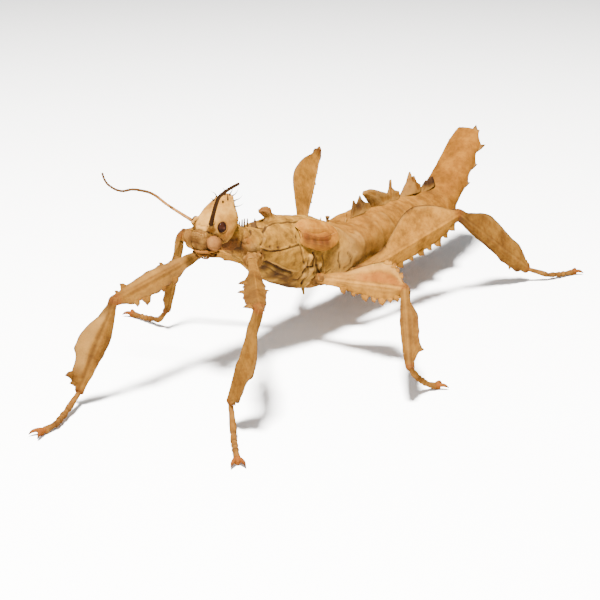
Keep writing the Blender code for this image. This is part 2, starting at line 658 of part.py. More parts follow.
def main():
    """Clear the scene and make the animal."""
    for old in list(bpy.data.objects):
        bpy.data.objects.remove(old)
    for name in ("giant_stick_insect", "cutters"):
        bpy.context.scene.collection.children.link(bpy.data.collections.new(name))
    finishes = make_materials()
    make_trunk(finishes["trunk"])
    make_abdomen(finishes["abdomen"])
    make_wing_pads(finishes["wing"])
    make_head(finishes)
    make_legs(finishes)
    bring_to_life_size()


main()
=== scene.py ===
"""Giant prickly stick insect: the looks of a life-size still model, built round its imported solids."""

import math

import bmesh
import bpy
import numpy as np
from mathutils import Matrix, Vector, noise
from mathutils.bvhtree import BVHTree


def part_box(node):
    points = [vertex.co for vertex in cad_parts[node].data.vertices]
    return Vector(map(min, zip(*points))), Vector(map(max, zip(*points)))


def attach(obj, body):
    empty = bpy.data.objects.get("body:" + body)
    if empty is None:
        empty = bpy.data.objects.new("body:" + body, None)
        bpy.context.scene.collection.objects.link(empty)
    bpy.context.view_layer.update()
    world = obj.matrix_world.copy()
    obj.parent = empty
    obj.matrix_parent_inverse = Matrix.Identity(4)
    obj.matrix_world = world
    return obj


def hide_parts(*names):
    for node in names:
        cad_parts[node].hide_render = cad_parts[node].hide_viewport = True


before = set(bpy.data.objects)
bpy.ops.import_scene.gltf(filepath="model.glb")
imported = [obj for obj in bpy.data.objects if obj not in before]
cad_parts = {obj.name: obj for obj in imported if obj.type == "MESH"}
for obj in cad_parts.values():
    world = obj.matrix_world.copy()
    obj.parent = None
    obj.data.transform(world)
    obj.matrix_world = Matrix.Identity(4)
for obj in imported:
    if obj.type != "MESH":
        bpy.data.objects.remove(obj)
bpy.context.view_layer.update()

# ---- Studio -------------------------------------------------------------------------------
# The model stands on a matt pale board under a strong lamp high up ahead of it, a broad weak one
# low in front and a pale room. The camera looks down on the head's left side.

MM = 0.001
CAMERA_PLACE = (0.14372, -0.19938, 0.10169)
CAMERA_TILT, CAMERA_TURN = 68.92, 35.85
LENS = 72.19
PALE_ROOM = (0.93, 0.94, 0.95, 1.0)
DAYLIGHT = (1.0, 0.98, 0.95)

bpy.ops.object.camera_add(location=CAMERA_PLACE,
                          rotation=(math.radians(CAMERA_TILT), 0, math.radians(CAMERA_TURN)))
camera = bpy.context.object
camera.data.sensor_width = 36
camera.data.lens = LENS
camera.data.clip_start = 0.01
bpy.context.scene.camera = camera

bpy.ops.mesh.primitive_plane_add(size=8)
board = bpy.context.object
board.name = "board"
paint = bpy.data.materials.new("board_paint")
paint.use_nodes = True
paint.node_tree.nodes["Principled BSDF"].inputs["Base Color"].default_value = (0.92, 0.92, 0.92, 1)
paint.node_tree.nodes["Principled BSDF"].inputs["Roughness"].default_value = 0.9
board.data.materials.append(paint)


def soft_lamp(name, place, size, power):
    """Square lamp that faces the middle of the animal."""
    bpy.ops.object.light_add(type="AREA", location=place)
    lamp = bpy.context.object
    lamp.name = name
    lamp.data.size = size
    lamp.data.energy = power
    lamp.data.color = DAYLIGHT
    lamp.rotation_euler = (Vector(place) - Vector((0, 0, 0.015))).to_track_quat("Z", "Y").to_euler()


soft_lamp("key_lamp", (0.11, -0.22, 0.55), 0.09, 50.0)
soft_lamp("front_lamp", (0.22, -0.55, 0.30), 0.6, 5.0)
room = bpy.data.worlds.new("pale_room")
room.use_nodes = True
room.node_tree.nodes["Background"].inputs["Color"].default_value = PALE_ROOM
room.node_tree.nodes["Background"].inputs["Strength"].default_value = 0.22
bpy.context.scene.world = room

# ---- Body skin ----------------------------------------------------------------------------
# Thorax and abdomen are one tough, slightly leathery skin. Sutures part the plates of the thorax,
# ring folds those of the abdomen, and leaf-like lobes stand up along the back. It is made from
# the seven solids of the trunk, opened at their ends and bridged to one.

BODY_NODES = ("prothorax", "mesothorax", "metathorax", "abdomen_front", "abdomen_middle",
              "abdomen_rear", "abdomen_tail")
MIDLINE = (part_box("head")[0].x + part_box("head")[1].x) / 2
WELD = 2e-6


def only(*chosen):
    """Select these objects alone, the first one active."""
    if bpy.context.object and bpy.context.object.mode != "OBJECT":
        bpy.ops.object.mode_set(mode="OBJECT")
    bpy.ops.object.select_all(action="DESELECT")
    for item in chosen:
        item.select_set(True)
    bpy.context.view_layer.objects.active = chosen[0]


def welded_copy(name, *nodes):
    """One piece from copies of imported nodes, welded and with its triangles paired."""
    copies = []
    for node in nodes:
        made = bpy.data.objects.new(name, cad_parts[node].data.copy())
        bpy.context.scene.collection.objects.link(made)
        copies.append(made)
    only(*copies)
    if len(copies) > 1:
        bpy.ops.object.join()
    piece = bpy.context.object
    piece.name = name
    piece.data.name = name
    piece.data.materials.clear()
    bpy.ops.object.mode_set(mode="EDIT")
    bpy.ops.mesh.select_all(action="SELECT")
    bpy.ops.mesh.remove_doubles(threshold=WELD)
    bpy.ops.mesh.tris_convert_to_quads(face_threshold=math.radians(50),
                                       shape_threshold=math.radians(60))
    bpy.ops.object.mode_set(mode="OBJECT")
    return piece


def joined(name, pieces):
    """Join pieces to one."""
    only(*pieces)
    bpy.ops.object.join()
    piece = bpy.context.object
    piece.name = name
    return piece


def apply(piece, kind, **settings):
    """Add a modifier and apply it."""
    only(piece)
    step = piece.modifiers.new(kind.lower(), kind)
    for name, value in settings.items():
        setattr(step, name, value)
    bpy.ops.object.modifier_apply(modifier=step.name)


def rounded(piece, levels):
    """Turn the piece's cage into a smooth fine surface."""
    apply(piece, "SUBSURF", levels=levels, render_levels=levels)


def pick(piece, domain, chosen):
    """In edit mode, select the vertices, edges or faces for which chosen says yes."""
    bpy.ops.mesh.select_mode(type=domain)
    bpy.ops.mesh.select_all(action="DESELECT")
    mesh = bmesh.from_edit_mesh(piece.data)
    items = {"VERT": mesh.verts, "EDGE": mesh.edges, "FACE": mesh.faces}[domain]
    for item in items:
        if chosen(item):
            item.select = True
    mesh.select_flush_mode()
    bmesh.update_edit_mesh(piece.data)


def face_outwards():
    """In edit mode, turn all faces outwards."""
    bpy.ops.mesh.select_all(action="SELECT")
    bpy.ops.mesh.normals_make_consistent(inside=False)


def cut_away(piece, chosen):
    """In edit mode, delete the vertices for which chosen says yes and close the holes."""
    pick(piece, "VERT", chosen)
    bpy.ops.mesh.delete(type="VERT")
    bpy.ops.mesh.select_all(action="SELECT")
    bpy.ops.mesh.fill_holes(sides=0)
    face_outwards()


def points_of(piece):
    """The piece's vertices as an array."""
    co = np.empty(len(piece.data.vertices) * 3)
    piece.data.vertices.foreach_get("co", co)
    return co.reshape(-1, 3)


def normals_of(piece):
    """The piece's vertex normals as an array."""
    out = np.empty(len(piece.data.vertices) * 3)
    piece.data.vertices.foreach_get("normal", out)
    return out.reshape(-1, 3)


def move_to(piece, co):
    """Give the piece's vertices new places."""
    piece.data.vertices.foreach_set("co", co.ravel())
    piece.data.update()


def channel(piece, name):
    """Values of one of the piece's own attributes, zero where there is none yet."""
    found = piece.data.attributes.get(name)
    values = np.zeros(len(piece.data.vertices))
    if found:
        found.data.foreach_get("value", values)
    return values


def set_channel(piece, name, values):
    """Write an attribute with one value for each vertex."""
    found = piece.data.attributes.get(name) or piece.data.attributes.new(name, "FLOAT", "POINT")
    found.data.foreach_set("value", np.asarray(values, dtype=np.float32))


def deepen(piece, name, values):
    """Raise a channel to these values wherever they are higher."""
    set_channel(piece, name, np.maximum(channel(piece, name), values))


def resampled(points, step):
    """Points along a line, at most a step apart."""
    line = [np.array(points[0], float)]
    for start, end in zip(points, points[1:]):
        start, end = np.array(start, float), np.array(end, float)
        count = max(1, int(np.ceil(np.linalg.norm(end - start) / step)))
        line += [start + (end - start) * (i + 1) / count for i in range(count)]
    return np.array(line)


def carve(piece, points, depth, width, stain_and_shade=0.0, lip=0.0):
    """Press a groove along a line on the surface, or raise a ridge if its depth is negative.

    Depth, width and lip are in mm. A lip lifts the surface on the line's left and lets it fall
    off over a few widths. The stain value paints shade into the bottom of the groove.
    """
    depth, width, lip = depth * MM, width * MM, lip * MM
    line = resampled(points, 0.4 * width)
    reach = 4.0 * width
    co, normal = points_of(piece), normals_of(piece)
    near = np.where(np.all((co > line.min(0) - reach) & (co < line.max(0) + reach), axis=1))[0]
    if not len(near):
        return
    gap = np.empty(len(near))
    index = np.empty(len(near), int)
    for part in range(0, len(near), 4000):
        block = co[near[part:part + 4000]]
        apart = np.linalg.norm(block[:, None] - line[None], axis=2)
        index[part:part + 4000] = apart.argmin(1)
        gap[part:part + 4000] = apart.min(1)
    ends = np.gradient(line, axis=0)
    side = np.einsum("ij,ij->i", np.cross(normal[near], ends[index]), co[near] - line[index])
    drop = -depth * np.exp(-(gap / width) ** 2)
    drop += lip * (side > 0) * np.exp(-gap / (2.5 * width)) * (1 - np.exp(-(gap / (0.5 * width)) ** 2))
    co[near] += normal[near] * drop[:, None]
    move_to(piece, co)
    if stain_and_shade:
        values = channel(piece, "stain_and_shade")
        values[near] = np.maximum(values[near], stain_and_shade * np.exp(-(gap / (1.1 * width)) ** 2))
        set_channel(piece, "stain_and_shade", values)


def swell(piece, place, radius, height, name="stain_and_shade", share=0.0):
    """Raise a round bump (mm) on the surface, or press a pit, and paint one of its channels there."""
    co, normal = points_of(piece), normals_of(piece)
    near = np.exp(-(np.linalg.norm(co - np.array(place), axis=1) / (radius * MM)) ** 2)
    co += normal * (near * height * MM)[:, None]
    move_to(piece, co)
    if share:
        deepen(piece, name, share * near)


def rumple(piece, size, height, where=None, stretch=(1, 1, 1), seed=0):
    """Push the surface in and out with soft noise of that size and height in mm.

    The share of the height at each vertex is what where says for the places in mm.
    """
    co, normal = points_of(piece), normals_of(piece)
    weight = np.ones(len(co)) if where is None else where(co / MM)
    scale = np.array(stretch) / (size * MM)
    for i in np.where(np.abs(weight) > 0.01)[0]:
        wave = noise.noise(Vector(co[i] * scale + seed * 7.3), noise_basis="PERLIN_ORIGINAL")
        co[i] += normal[i] * (wave * height * MM * weight[i])
    move_to(piece, co)


def read_relief(piece, rounds=3, share=1.0):
    """Store how far each vertex stands proud of its neighbours, from -1 in creases to 1 on ridges."""
    co, normal = points_of(piece), normals_of(piece)
    ends = np.empty(len(piece.data.edges) * 2, int)
    piece.data.edges.foreach_get("vertices", ends)
    a, b = ends.reshape(-1, 2).T
    count = np.bincount(np.concatenate((a, b)), minlength=len(co)).astype(float)
    count[count == 0] = 1
    middle = np.zeros_like(co)
    np.add.at(middle, a, co[b])
    np.add.at(middle, b, co[a])
    length = np.linalg.norm(co[a] - co[b], axis=1).mean()
    relief = np.einsum("ij,ij->i", co - middle / count[:, None], normal) / length
    for _ in range(rounds):
        spread = np.zeros(len(co))
        np.add.at(spread, a, relief[b])
        np.add.at(spread, b, relief[a])
        relief = 0.5 * relief + 0.5 * spread / count
    set_channel(piece, "relief", share * np.clip(relief * 9, -1, 1))


class Tone:
    """A value or colour in a material. Sums and products of tones add Math nodes."""

    def __init__(self, tree, socket):
        self.tree = tree
        self.socket = socket

    def node(self, kind, sockets, output=0, stops=None, **settings):
        """Add a node: its settings first, then the stops of its ramp, then its sockets."""
        made = self.tree.nodes.new(kind)
        for name, value in settings.items():
            setattr(made, name, value)
        if stops:
            ramp = made.color_ramp.elements
            while len(ramp) < len(stops):
                ramp.new(0.5)
            for stop, (place, colour) in zip(ramp, stops):
                stop.position = place
                stop.color = (*colour, 1)
        for name, value in sockets.items():
            if isinstance(value, Tone):
                self.tree.links.new(value.socket, made.inputs[name])
            else:
                made.inputs[name].default_value = value
        return Tone(self.tree, made.outputs[output])

    def math(self, operation, first, second):
        return self.node("ShaderNodeMath", {0: first, 1: second}, operation=operation)

    def __add__(self, other):
        return self.math("ADD", self, other)

    def __radd__(self, other):
        return self.math("ADD", other, self)

    def __sub__(self, other):
        return self.math("SUBTRACT", self, other)

    def __rsub__(self, other):
        return self.math("SUBTRACT", other, self)

    def __mul__(self, other):
        return self.math("MULTIPLY", self, other)

    def __rmul__(self, other):
        return self.math("MULTIPLY", other, self)

    def between(self, low, high):
        """0 below low, 1 above high, and a soft step between them."""
        return self.node("ShaderNodeMapRange", {"Value": self, "From Min": low, "From Max": high},
                         interpolation_type="SMOOTHSTEP")

    def grain(self, scale, detail=2.0, rough=0.5):
        """Noise read at this place."""
        return self.node("ShaderNodeTexNoise", {"Vector": self, "Scale": scale, "Detail": detail,
                                                "Roughness": rough})

    def own(self, name):
        """An attribute of the piece."""
        return self.node("ShaderNodeAttribute", {}, output="Fac", attribute_name=name)

    def tint(self, over, share):
        """This colour, with another one over it by a share from 0 to 1."""
        if not isinstance(over, Tone):
            over = (*over, 1)
        return self.node("ShaderNodeMix", {0: share, 6: self, 7: over}, output=2, data_type="RGBA")

    def axis(self, index):
        """One of the three numbers of a place."""
        return self.node("ShaderNodeSeparateXYZ", {"Vector": self}, output=index)

    def cloud(self, tones):
        """Cloudy patches of three tones, read at this place."""
        patches = self.grain(240, 3.0) * 0.6 + self.grain(900, 4.0, 0.6) * 0.4
        return self.node("ShaderNodeValToRGB", {"Fac": patches},
                         stops=((0.38, tones[0]), (0.5, tones[1]), (0.62, tones[2])))


DARK = (0.009, 0.004, 0.002)
CREASE = (0.0115, 0.0046, 0.0015)
PALE = (0.21, 0.110, 0.027)
WARM = (0.085, 0.020, 0.002)
SHEEN_GREY = (0.17, 0.155, 0.14)


def shell_finish(name, tones, zones=(), rough=0.5, speckle=0.35, bump=0.5, painted_sheen=0.012):
    """Matt insect shell: cloudy tones by zone, fine speckles, painted shade in creases and painted
    highlights on ridges.

    A zone is (axis, from, to, tones): its tones come in between two places on that axis, in mm.
    The piece's own channels paint it too: pale colour with painted highlights, a warm tint with
    painted shade, stains with painted shade, and dark tips. The painted sheen is a thin grey
    veil over all of it, in place of a shine.
    """
    made = bpy.data.materials.new(name)
    made.use_nodes = True
    tree = made.node_tree
    shader = tree.nodes["Principled BSDF"]
    place = Tone(tree, tree.nodes.new("ShaderNodeTexCoord").outputs["Object"])
    colour = place.cloud(tones)
    for axis, low, high, others in zones:
        shift = place.grain(420) * 3 * MM - 1.5 * MM
        mask = (place.axis(axis) + shift).between(low * MM, high * MM)
        colour = colour.tint(place.cloud(others), mask)
    # Pale colour and painted highlights, then a warm tint and painted shade, from the piece's channels.
    colour = colour.tint(PALE, place.own("pale_and_highlight"))
    colour = colour.tint(WARM, place.own("warm") * (place.grain(700, 3.0) + 0.35))
    relief = place.own("relief")
    # Ridges lightened as painted highlight, creases darkened as painted shade.
    colour = colour.tint(PALE, relief.between(0.2, 1.0) * 0.3)
    colour = colour.tint(CREASE, (0 - relief).between(0.1, 0.9) * 0.55)
    specks = place.grain(3000, 2.0).between(0.58, 0.68) * place.grain(500).between(0.42, 0.6)
    colour = colour.tint(CREASE, specks * speckle)
    # Real stains, and painted shade in grooves, hollows and low places, darken it.
    colour = colour.tint(CREASE, place.own("stain_and_shade") * (place.grain(900, 2.0) * 0.9 + 0.55))
    colour = colour.tint(DARK, place.own("tip"))
    # A thin grey veil painted over all of it, in place of a sheen.
    colour = colour.tint(SHEEN_GREY, painted_sheen)
    tree.links.new(colour.socket, shader.inputs["Base Color"])
    uneven = place.grain(1500, 3.0) * 0.25 + (rough - 0.12)
    tree.links.new(uneven.socket, shader.inputs["Roughness"])
    height = place.grain(5200, 3.0, 0.6) * 0.5 + place.grain(1700, 3.0) * 0.5
    normal = height.node("ShaderNodeBump", {"Strength": bump, "Distance": 0.00014, "Height": height})
    tree.links.new(normal.socket, shader.inputs["Normal"])
    shader.inputs["Subsurface Weight"].default_value = 0.04
    shader.inputs["Subsurface Radius"].default_value = (1.0, 0.4, 0.15)
    shader.inputs["Subsurface Scale"].default_value = 0.0010
    shader.inputs["Specular IOR Level"].default_value = 0.0
    return made


def finish_piece(piece, material, slot, *nodes):
    """Smooth a finished piece, give it its material and fix it to the still body."""
    only(piece)
    bpy.ops.object.shade_smooth()
    piece.data.materials.clear()
    piece.data.materials.append(material)
    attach(piece, "root")
    if nodes:
        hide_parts(*nodes)


skin = welded_copy("body_skin", *BODY_NODES)

# The facing ends of the seven lengths are opened and bridged, so the skin runs through.
bpy.ops.object.mode_set(mode="EDIT")
for front, rear in zip(BODY_NODES, BODY_NODES[1:]):
    seam = (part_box(front)[1].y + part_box(rear)[0].y) / 2
    for way in (1, -1):
        mesh = bmesh.from_edit_mesh(skin.data)
        ends = [f for f in mesh.faces if abs(f.normal.x) < 0.02 and f.normal.y * way > 0.4
                and abs(f.calc_center_median().y - seam) < 3 * MM]
        flat_end = max(ends, key=lambda f: f.calc_area())
        pick(skin, "FACE", lambda f: f == flat_end)
        bpy.ops.mesh.faces_select_linked_flat(sharpness=math.radians(1))
        bpy.ops.mesh.delete(type="FACE")
    pick(skin, "EDGE", lambda e: e.is_boundary)
    bpy.ops.mesh.bridge_edge_loops()

# The neck is cut clean behind the head and drawn forwards into it in folds.
NECK_PLACE = (MIDLINE, -28.4 * MM, 29.2 * MM)
NECK_WAY = Vector((0, -0.96, 0.28))
bpy.ops.mesh.select_all(action="SELECT")
bpy.ops.mesh.bisect(plane_co=NECK_PLACE, plane_no=NECK_WAY, clear_outer=True)
pick(skin, "EDGE", lambda e: e.is_boundary)
for swelling in (1.04, 0.88, 1.04, 0.88, 1.04):
    bpy.ops.mesh.extrude_region_move(TRANSFORM_OT_translate={"value": NECK_WAY * 0.6 * MM})
    bpy.ops.transform.resize(value=(swelling, swelling, swelling))
bpy.ops.mesh.edge_face_add()

# The back's height along the body, as (y, z) in mm.
BACK_TOP = (
    (-30.5, 31.5), (-25.9, 31.2), (-23.4, 30.9), (-20.6, 30.3), (-19.3, 30.3), (-17.5, 30.7), (-15.8, 30.6),
    (-12.1, 30.0), (-5.6, 28.5), (0, 26.8), (3.1, 25.4), (5.5, 24.1), (8.1, 23.0), (11.3, 22.9), (13.7, 23.4),
    (18.9, 23.9), (29.0, 23.6), (39.9, 22.8), (47.2, 22.2), (51.2, 22.8), (53.9, 24.0), (56.2, 25.6),
)
# From here on, in mm, the trunk rises into the tail, and up to here the thorax has a finer mesh.
TAIL_START = 50
THORAX_END = -1.0


def back_height(y):
    """Height of the back at y, both in mm."""
    return np.interp(y, *zip(*BACK_TOP))


# The plain thorns and keel points of the solids go. Finer ones are set on the smooth back later.
cut_away(skin, lambda v: -28 < v.co.y / MM < 8 and v.co.z / MM - back_height(v.co.y / MM) > 0.45)
bpy.ops.object.mode_set(mode="OBJECT")
co = points_of(skin)
lowered = np.minimum(co[:, 2], back_height(co[:, 1] / MM) * MM)
co[:, 2] = np.where(co[:, 1] < TAIL_START * MM, lowered, co[:, 2])
move_to(skin, co)


def keep_points(piece, share, crease=0.9, where=lambda place: True):
    """Crease the vertices that stand far out of their neighbours, so that they stay pointed."""
    sharp = np.zeros(len(piece.data.vertices), dtype=np.float32)
    mesh = bmesh.new()
    mesh.from_mesh(piece.data)
    for vert in mesh.verts:
        around = [edge.other_vert(vert).co for edge in vert.link_edges]
        middle = sum(around, Vector()) / len(around)
        length = sum((place - vert.co).length for place in around) / len(around)
        if where(vert.co / MM) and (vert.co - middle).dot(vert.normal) > share * length:
            sharp[vert.index] = crease
    mesh.free()
    made = piece.data.attributes.new("crease_vert", "FLOAT", "POINT")
    made.data.foreach_set("value", sharp)


keep_points(skin, 0.36, where=lambda place: -22 < place.y < 9 or place.z < 24 or place.y > TAIL_START)
rounded(skin, 3)
bpy.ops.object.mode_set(mode="EDIT")
pick(skin, "FACE", lambda f: f.calc_center_median().y < THORAX_END * MM and f.normal.z > -0.6)
bpy.ops.mesh.subdivide(number_cuts=1, smoothness=0.6)
bpy.ops.object.mode_set(mode="OBJECT")

# The trunk's axis, as (y, z) in mm, from which a place on the skin is found by its angle.
AXIS = ((-30.5, 29.8), (-22.7, 26.9), (-15.8, 24.0), (-6.3, 20.6), (3.1, 19.0), (8.1, 18.3), (39.9, 17.1),
        (47.2, 17.4), (53.9, 20.6), (59.9, 26.2), (65.6, 33.5))
skin_tree = BVHTree.FromObject(skin, bpy.context.evaluated_depsgraph_get())


def from_axis(y, angle):
    """Place on the axis at y (mm), and the way out of it that many degrees left of straight up."""
    turn = math.radians(angle)
    return (Vector((MIDLINE, y * MM, np.interp(y, *zip(*AXIS)) * MM)),
            Vector((math.sin(turn), 0, math.cos(turn))))


def on_skin(y, angle, out=0.0):
    """Place on the skin, or that many mm out of it."""
    start, way = from_axis(y, angle)
    return skin_tree.ray_cast(start, way)[0] + way * out * MM


# Sutures of the thorax plates, as (y, angle), then depth, width (mm), painted shade in the groove, and lip on
# one side.
SUTURES = (
    # Long seam between the back and the plates.
    (((-20.7, 27), (-18.4, 23), (-15.5, 22), (-14, 21), (-12.5, 24), (-10.1, 21), (-7.8, 20), (-6.4, 23),
      (-3.5, 33), (-1.5, 44)), 0.22, 0.22, 0.75, 0.10),
    # Front edge of the plates, behind the neck collar.
    (((-20.4, 24), (-22.3, 42), (-24.3, 81), (-24.9, 92), (-25.0, 105), (-24.4, 133)), 0.35, 0.30, 0.8, 0.15),
    # Ridge under the upper plate, lightened as painted highlight, with a fine groove below it darkened as
    # painted shade.
    (((-24.6, 92), (-23.2, 94), (-22, 92), (-20.3, 87), (-18.6, 80), (-16.3, 72), (-14.6, 67)),
     -0.16, 0.26, 0.0, 0.0),
    (((-24.7, 97), (-23.3, 99), (-21.8, 96), (-20.1, 91), (-18.4, 84), (-16.2, 76), (-14.5, 71)),
     0.18, 0.16, 0.85, 0.0),
    # Upright ridge in front of the wing pad.
    (((-13, 26), (-13.9, 42), (-15.2, 55), (-14.8, 67)), -0.14, 0.24, 0.0, 0.0),
    # Rear edge of the lower plate.
    (((-14.3, 72), (-14.1, 87), (-13.7, 101), (-12.6, 112)), 0.22, 0.25, 0.6, 0.12),
    # Deep groove over the belly and the ridge above it.
    (((-23.9, 138), (-23.0, 130), (-21.5, 129), (-19.7, 131), (-17.9, 132), (-16.0, 131)),
     0.60, 0.42, 1.0, 0.0),
    (((-23.6, 131), (-22.4, 124), (-20.6, 123), (-18.6, 125), (-16.4, 126), (-14.5, 124)),
     -0.16, 0.22, 0.0, 0.0),
    # Creases round the middle coxa.
    (((-10.6, 83), (-10.1, 91), (-10.4, 102), (-10.6, 110), (-12.4, 112), (-13, 125), (-13, 142),
      (-14.2, 147)), 0.38, 0.28, 0.9, 0.12),
    (((-9.3, 105), (-8.9, 113), (-7.4, 123), (-5.9, 122), (-4.6, 112)), 0.30, 0.26, 0.8, 0.10),
    # Side plates of the metathorax.
    (((-7.7, 84), (-7.2, 96), (-6.8, 118)), 0.16, 0.25, 0.4, 0.08),
    (((-2.1, 83), (-2.3, 97), (-1, 113)), 0.20, 0.30, 0.55, 0.08),
    (((1.0, 86), (2.4, 95), (2.6, 106), (0.8, 116)), 0.22, 0.3, 0.6, 0.08),
    # Creases between the neck, the shoulder of the fore leg and the collar.
    (((-28.0, 52), (-28.4, 75), (-28.5, 100), (-28.0, 132), (-27.2, 150)), 0.40, 0.34, 0.85, 0.15),
    (((-24.9, 30), (-25.6, 48), (-26.8, 64), (-28.0, 74)), 0.34, 0.28, 0.75, 0.12),
    (((-27.6, 84), (-26.6, 92), (-25.6, 104), (-25.0, 122)), 0.20, 0.24, 0.5, 0.10),
    (((-23.5, 2), (-22.4, 12), (-21.2, 24)), 0.18, 0.22, 0.7, 0.08),
    (((-28.9, 84), (-27.7, 95), (-27.0, 112), (-26.8, 134)), 0.34, 0.26, 0.8, 0.14),
    (((-26.4, 82), (-25.9, 100), (-25.9, 122), (-25.4, 140)), 0.26, 0.22, 0.7, 0.12),
    (((-29.0, 146), (-27.4, 146), (-25.2, 150)), 0.28, 0.26, 0.8, 0.10),
    # Fine lines along the belly's front.
    (((-23.6, 146), (-21.4, 140), (-19.2, 142), (-16.8, 141)), 0.20, 0.20, 0.9, 0.08),
    (((-22.0, 155), (-19.6, 152), (-17.0, 152), (-14.6, 156)), 0.18, 0.20, 0.8, 0.08),
    # Upright creases in front of the middle leg.
    (((-12.2, 94), (-12.4, 106), (-11.6, 118), (-11.4, 132), (-11.8, 146)), 0.34, 0.24, 0.9, 0.12),
    (((-9.6, 92), (-9.6, 104), (-9.9, 118), (-9.0, 132)), 0.30, 0.22, 0.85, 0.12),
)
# Shares of those depths, widths and painted shades that the thin shell takes.
SUTURE_DEPTH, SUTURE_WIDTH, SUTURE_SHADE = 0.85, 0.80, 1.15
# Soft bulges round the leg sockets, as (y, angle, radius, height), in mm and degrees.
BULGES = ((-11.4, 124, 1.0, 0.5), (-8.4, 132, 1.1, 0.55), (-9.9, 146, 1.0, 0.4), (-23.6, 64, 1.2, 0.35),
          (-12.0, 98, 1.0, 0.35), (-3.4, 124, 1.4, 0.4), (-26.6, 100, 1.5, 0.65), (-26.0, 122, 1.5, 0.7),
          (-24.6, 140, 1.2, 0.4), (-26.6, 48, 1.0, 0.35))
# Painted shade and light, as (y, angle, radius, channel, share).
SHADES = (
    # Painted shade and a warm red-brown tint on the neck, the shoulder and the belly's front.
    (-28.8, 100, 1.7, "stain_and_shade", 0.75), (-28.8, 132, 2.0, "stain_and_shade", 0.95), (-28.2, 60, 1.2, "stain_and_shade", 0.35),
    (-27.6, 95, 1.8, "warm", 0.6), (-27.0, 125, 1.8, "warm", 0.8), (-26.5, 108, 1.7, "stain_and_shade", 0.95),
    (-26.8, 90, 1.2, "stain_and_shade", 0.5), (-26.0, 134, 1.8, "stain_and_shade", 0.8), (-24.9, 122, 1.2, "stain_and_shade", 0.6),
    (-22.6, 146, 1.8, "stain_and_shade", 1.0), (-19.6, 146, 2.4, "stain_and_shade", 1.0), (-16.6, 148, 2.0, "stain_and_shade", 0.9),
    (-14, 150, 3.5, "stain_and_shade", 0.45), (-27, 110, 3.0, "stain_and_shade", 0.35),
    # Painted shade in the hollows round the middle leg.
    (-12.4, 120, 1.0, "stain_and_shade", 0.6), (-10.8, 104, 0.9, "stain_and_shade", 0.6), (-9.0, 118, 0.8, "stain_and_shade", 0.6),
    (-11.2, 136, 1.0, "stain_and_shade", 0.5),
    # Painted shade low on the abdomen's sides, behind the wing pads and before the tail.
    (14, 100, 4.5, "stain_and_shade", 0.40), (20, 110, 4.5, "stain_and_shade", 0.42), (9, 84, 3.2, "stain_and_shade", 0.34),
    (4, 110, 3.0, "stain_and_shade", 0.15), (4, 66, 2.8, "stain_and_shade", 0.34), (25, 100, 4.0, "stain_and_shade", 0.20),
    (34, 95, 4.0, "stain_and_shade", 0.20), (45, 8, 2.0, "stain_and_shade", 0.6),
    # Painted light between the wing pad and the middle leg, where the pad's shadow falls.
    (-1.5, 96, 3.0, "pale_and_highlight", 0.40), (2.5, 92, 3.5, "pale_and_highlight", 0.45), (5.5, 104, 3.0, "pale_and_highlight", 0.30),
)
# Pale knobs round the middle leg, as (y, angle, radius, height), and dark pits on the upper plate.
KNOBS = ((-11.6, 92, 0.6, 0.45), (-13.0, 110, 0.55, 0.4), (-10.6, 114, 0.6, 0.5), (-12.6, 128, 0.7, 0.5),
         (-9.4, 127, 0.6, 0.45), (-8.4, 104, 0.6, 0.4), (-10.4, 141, 0.7, 0.4), (-6.9, 112, 0.6, 0.35))
PITS = ((-22.6, 87), (-20.5, 85), (-14.7, 55), (-17.4, 77))

# The collar behind the head stands up.
swell(skin, on_skin(-28.4, 0), 1.9, 1.35)
for side in (1, -1):
    for line, depth, width, stain_and_shade, lip in SUTURES:
        carve(skin, [on_skin(y, side * angle) for y, angle in line], SUTURE_DEPTH * depth,
              SUTURE_WIDTH * width, min(1.0, SUTURE_SHADE * stain_and_shade), side * lip)
    for y, angle, radius, height in BULGES:
        swell(skin, on_skin(y, side * angle), radius, height)
    for y, angle, radius, name, share in SHADES:
        swell(skin, on_skin(y, side * angle), radius, 0.0, name, share)
    for y, angle, radius, height in KNOBS:
        swell(skin, on_skin(y, side * angle), radius, height, "pale_and_highlight", 0.28)
    for y, angle in PITS:
        swell(skin, on_skin(y, side * angle), 0.32, -0.12, "stain_and_shade", 0.9)

# Ring folds between the abdomen's segments, each groove darkened a little as painted shade.
RING_FOLDS = (8.0, 15.6, 20.9, 26.4, 32.2, 38.4, 44.6)
for y in RING_FOLDS:
    for side in (1, -1):
        places = [on_skin(y + 0.9 * math.sin(math.radians(angle)), side * angle)
                  for angle in range(12, 176, 12)]
        carve(skin, places, 0.06, 0.55, 0.05, 0.05)

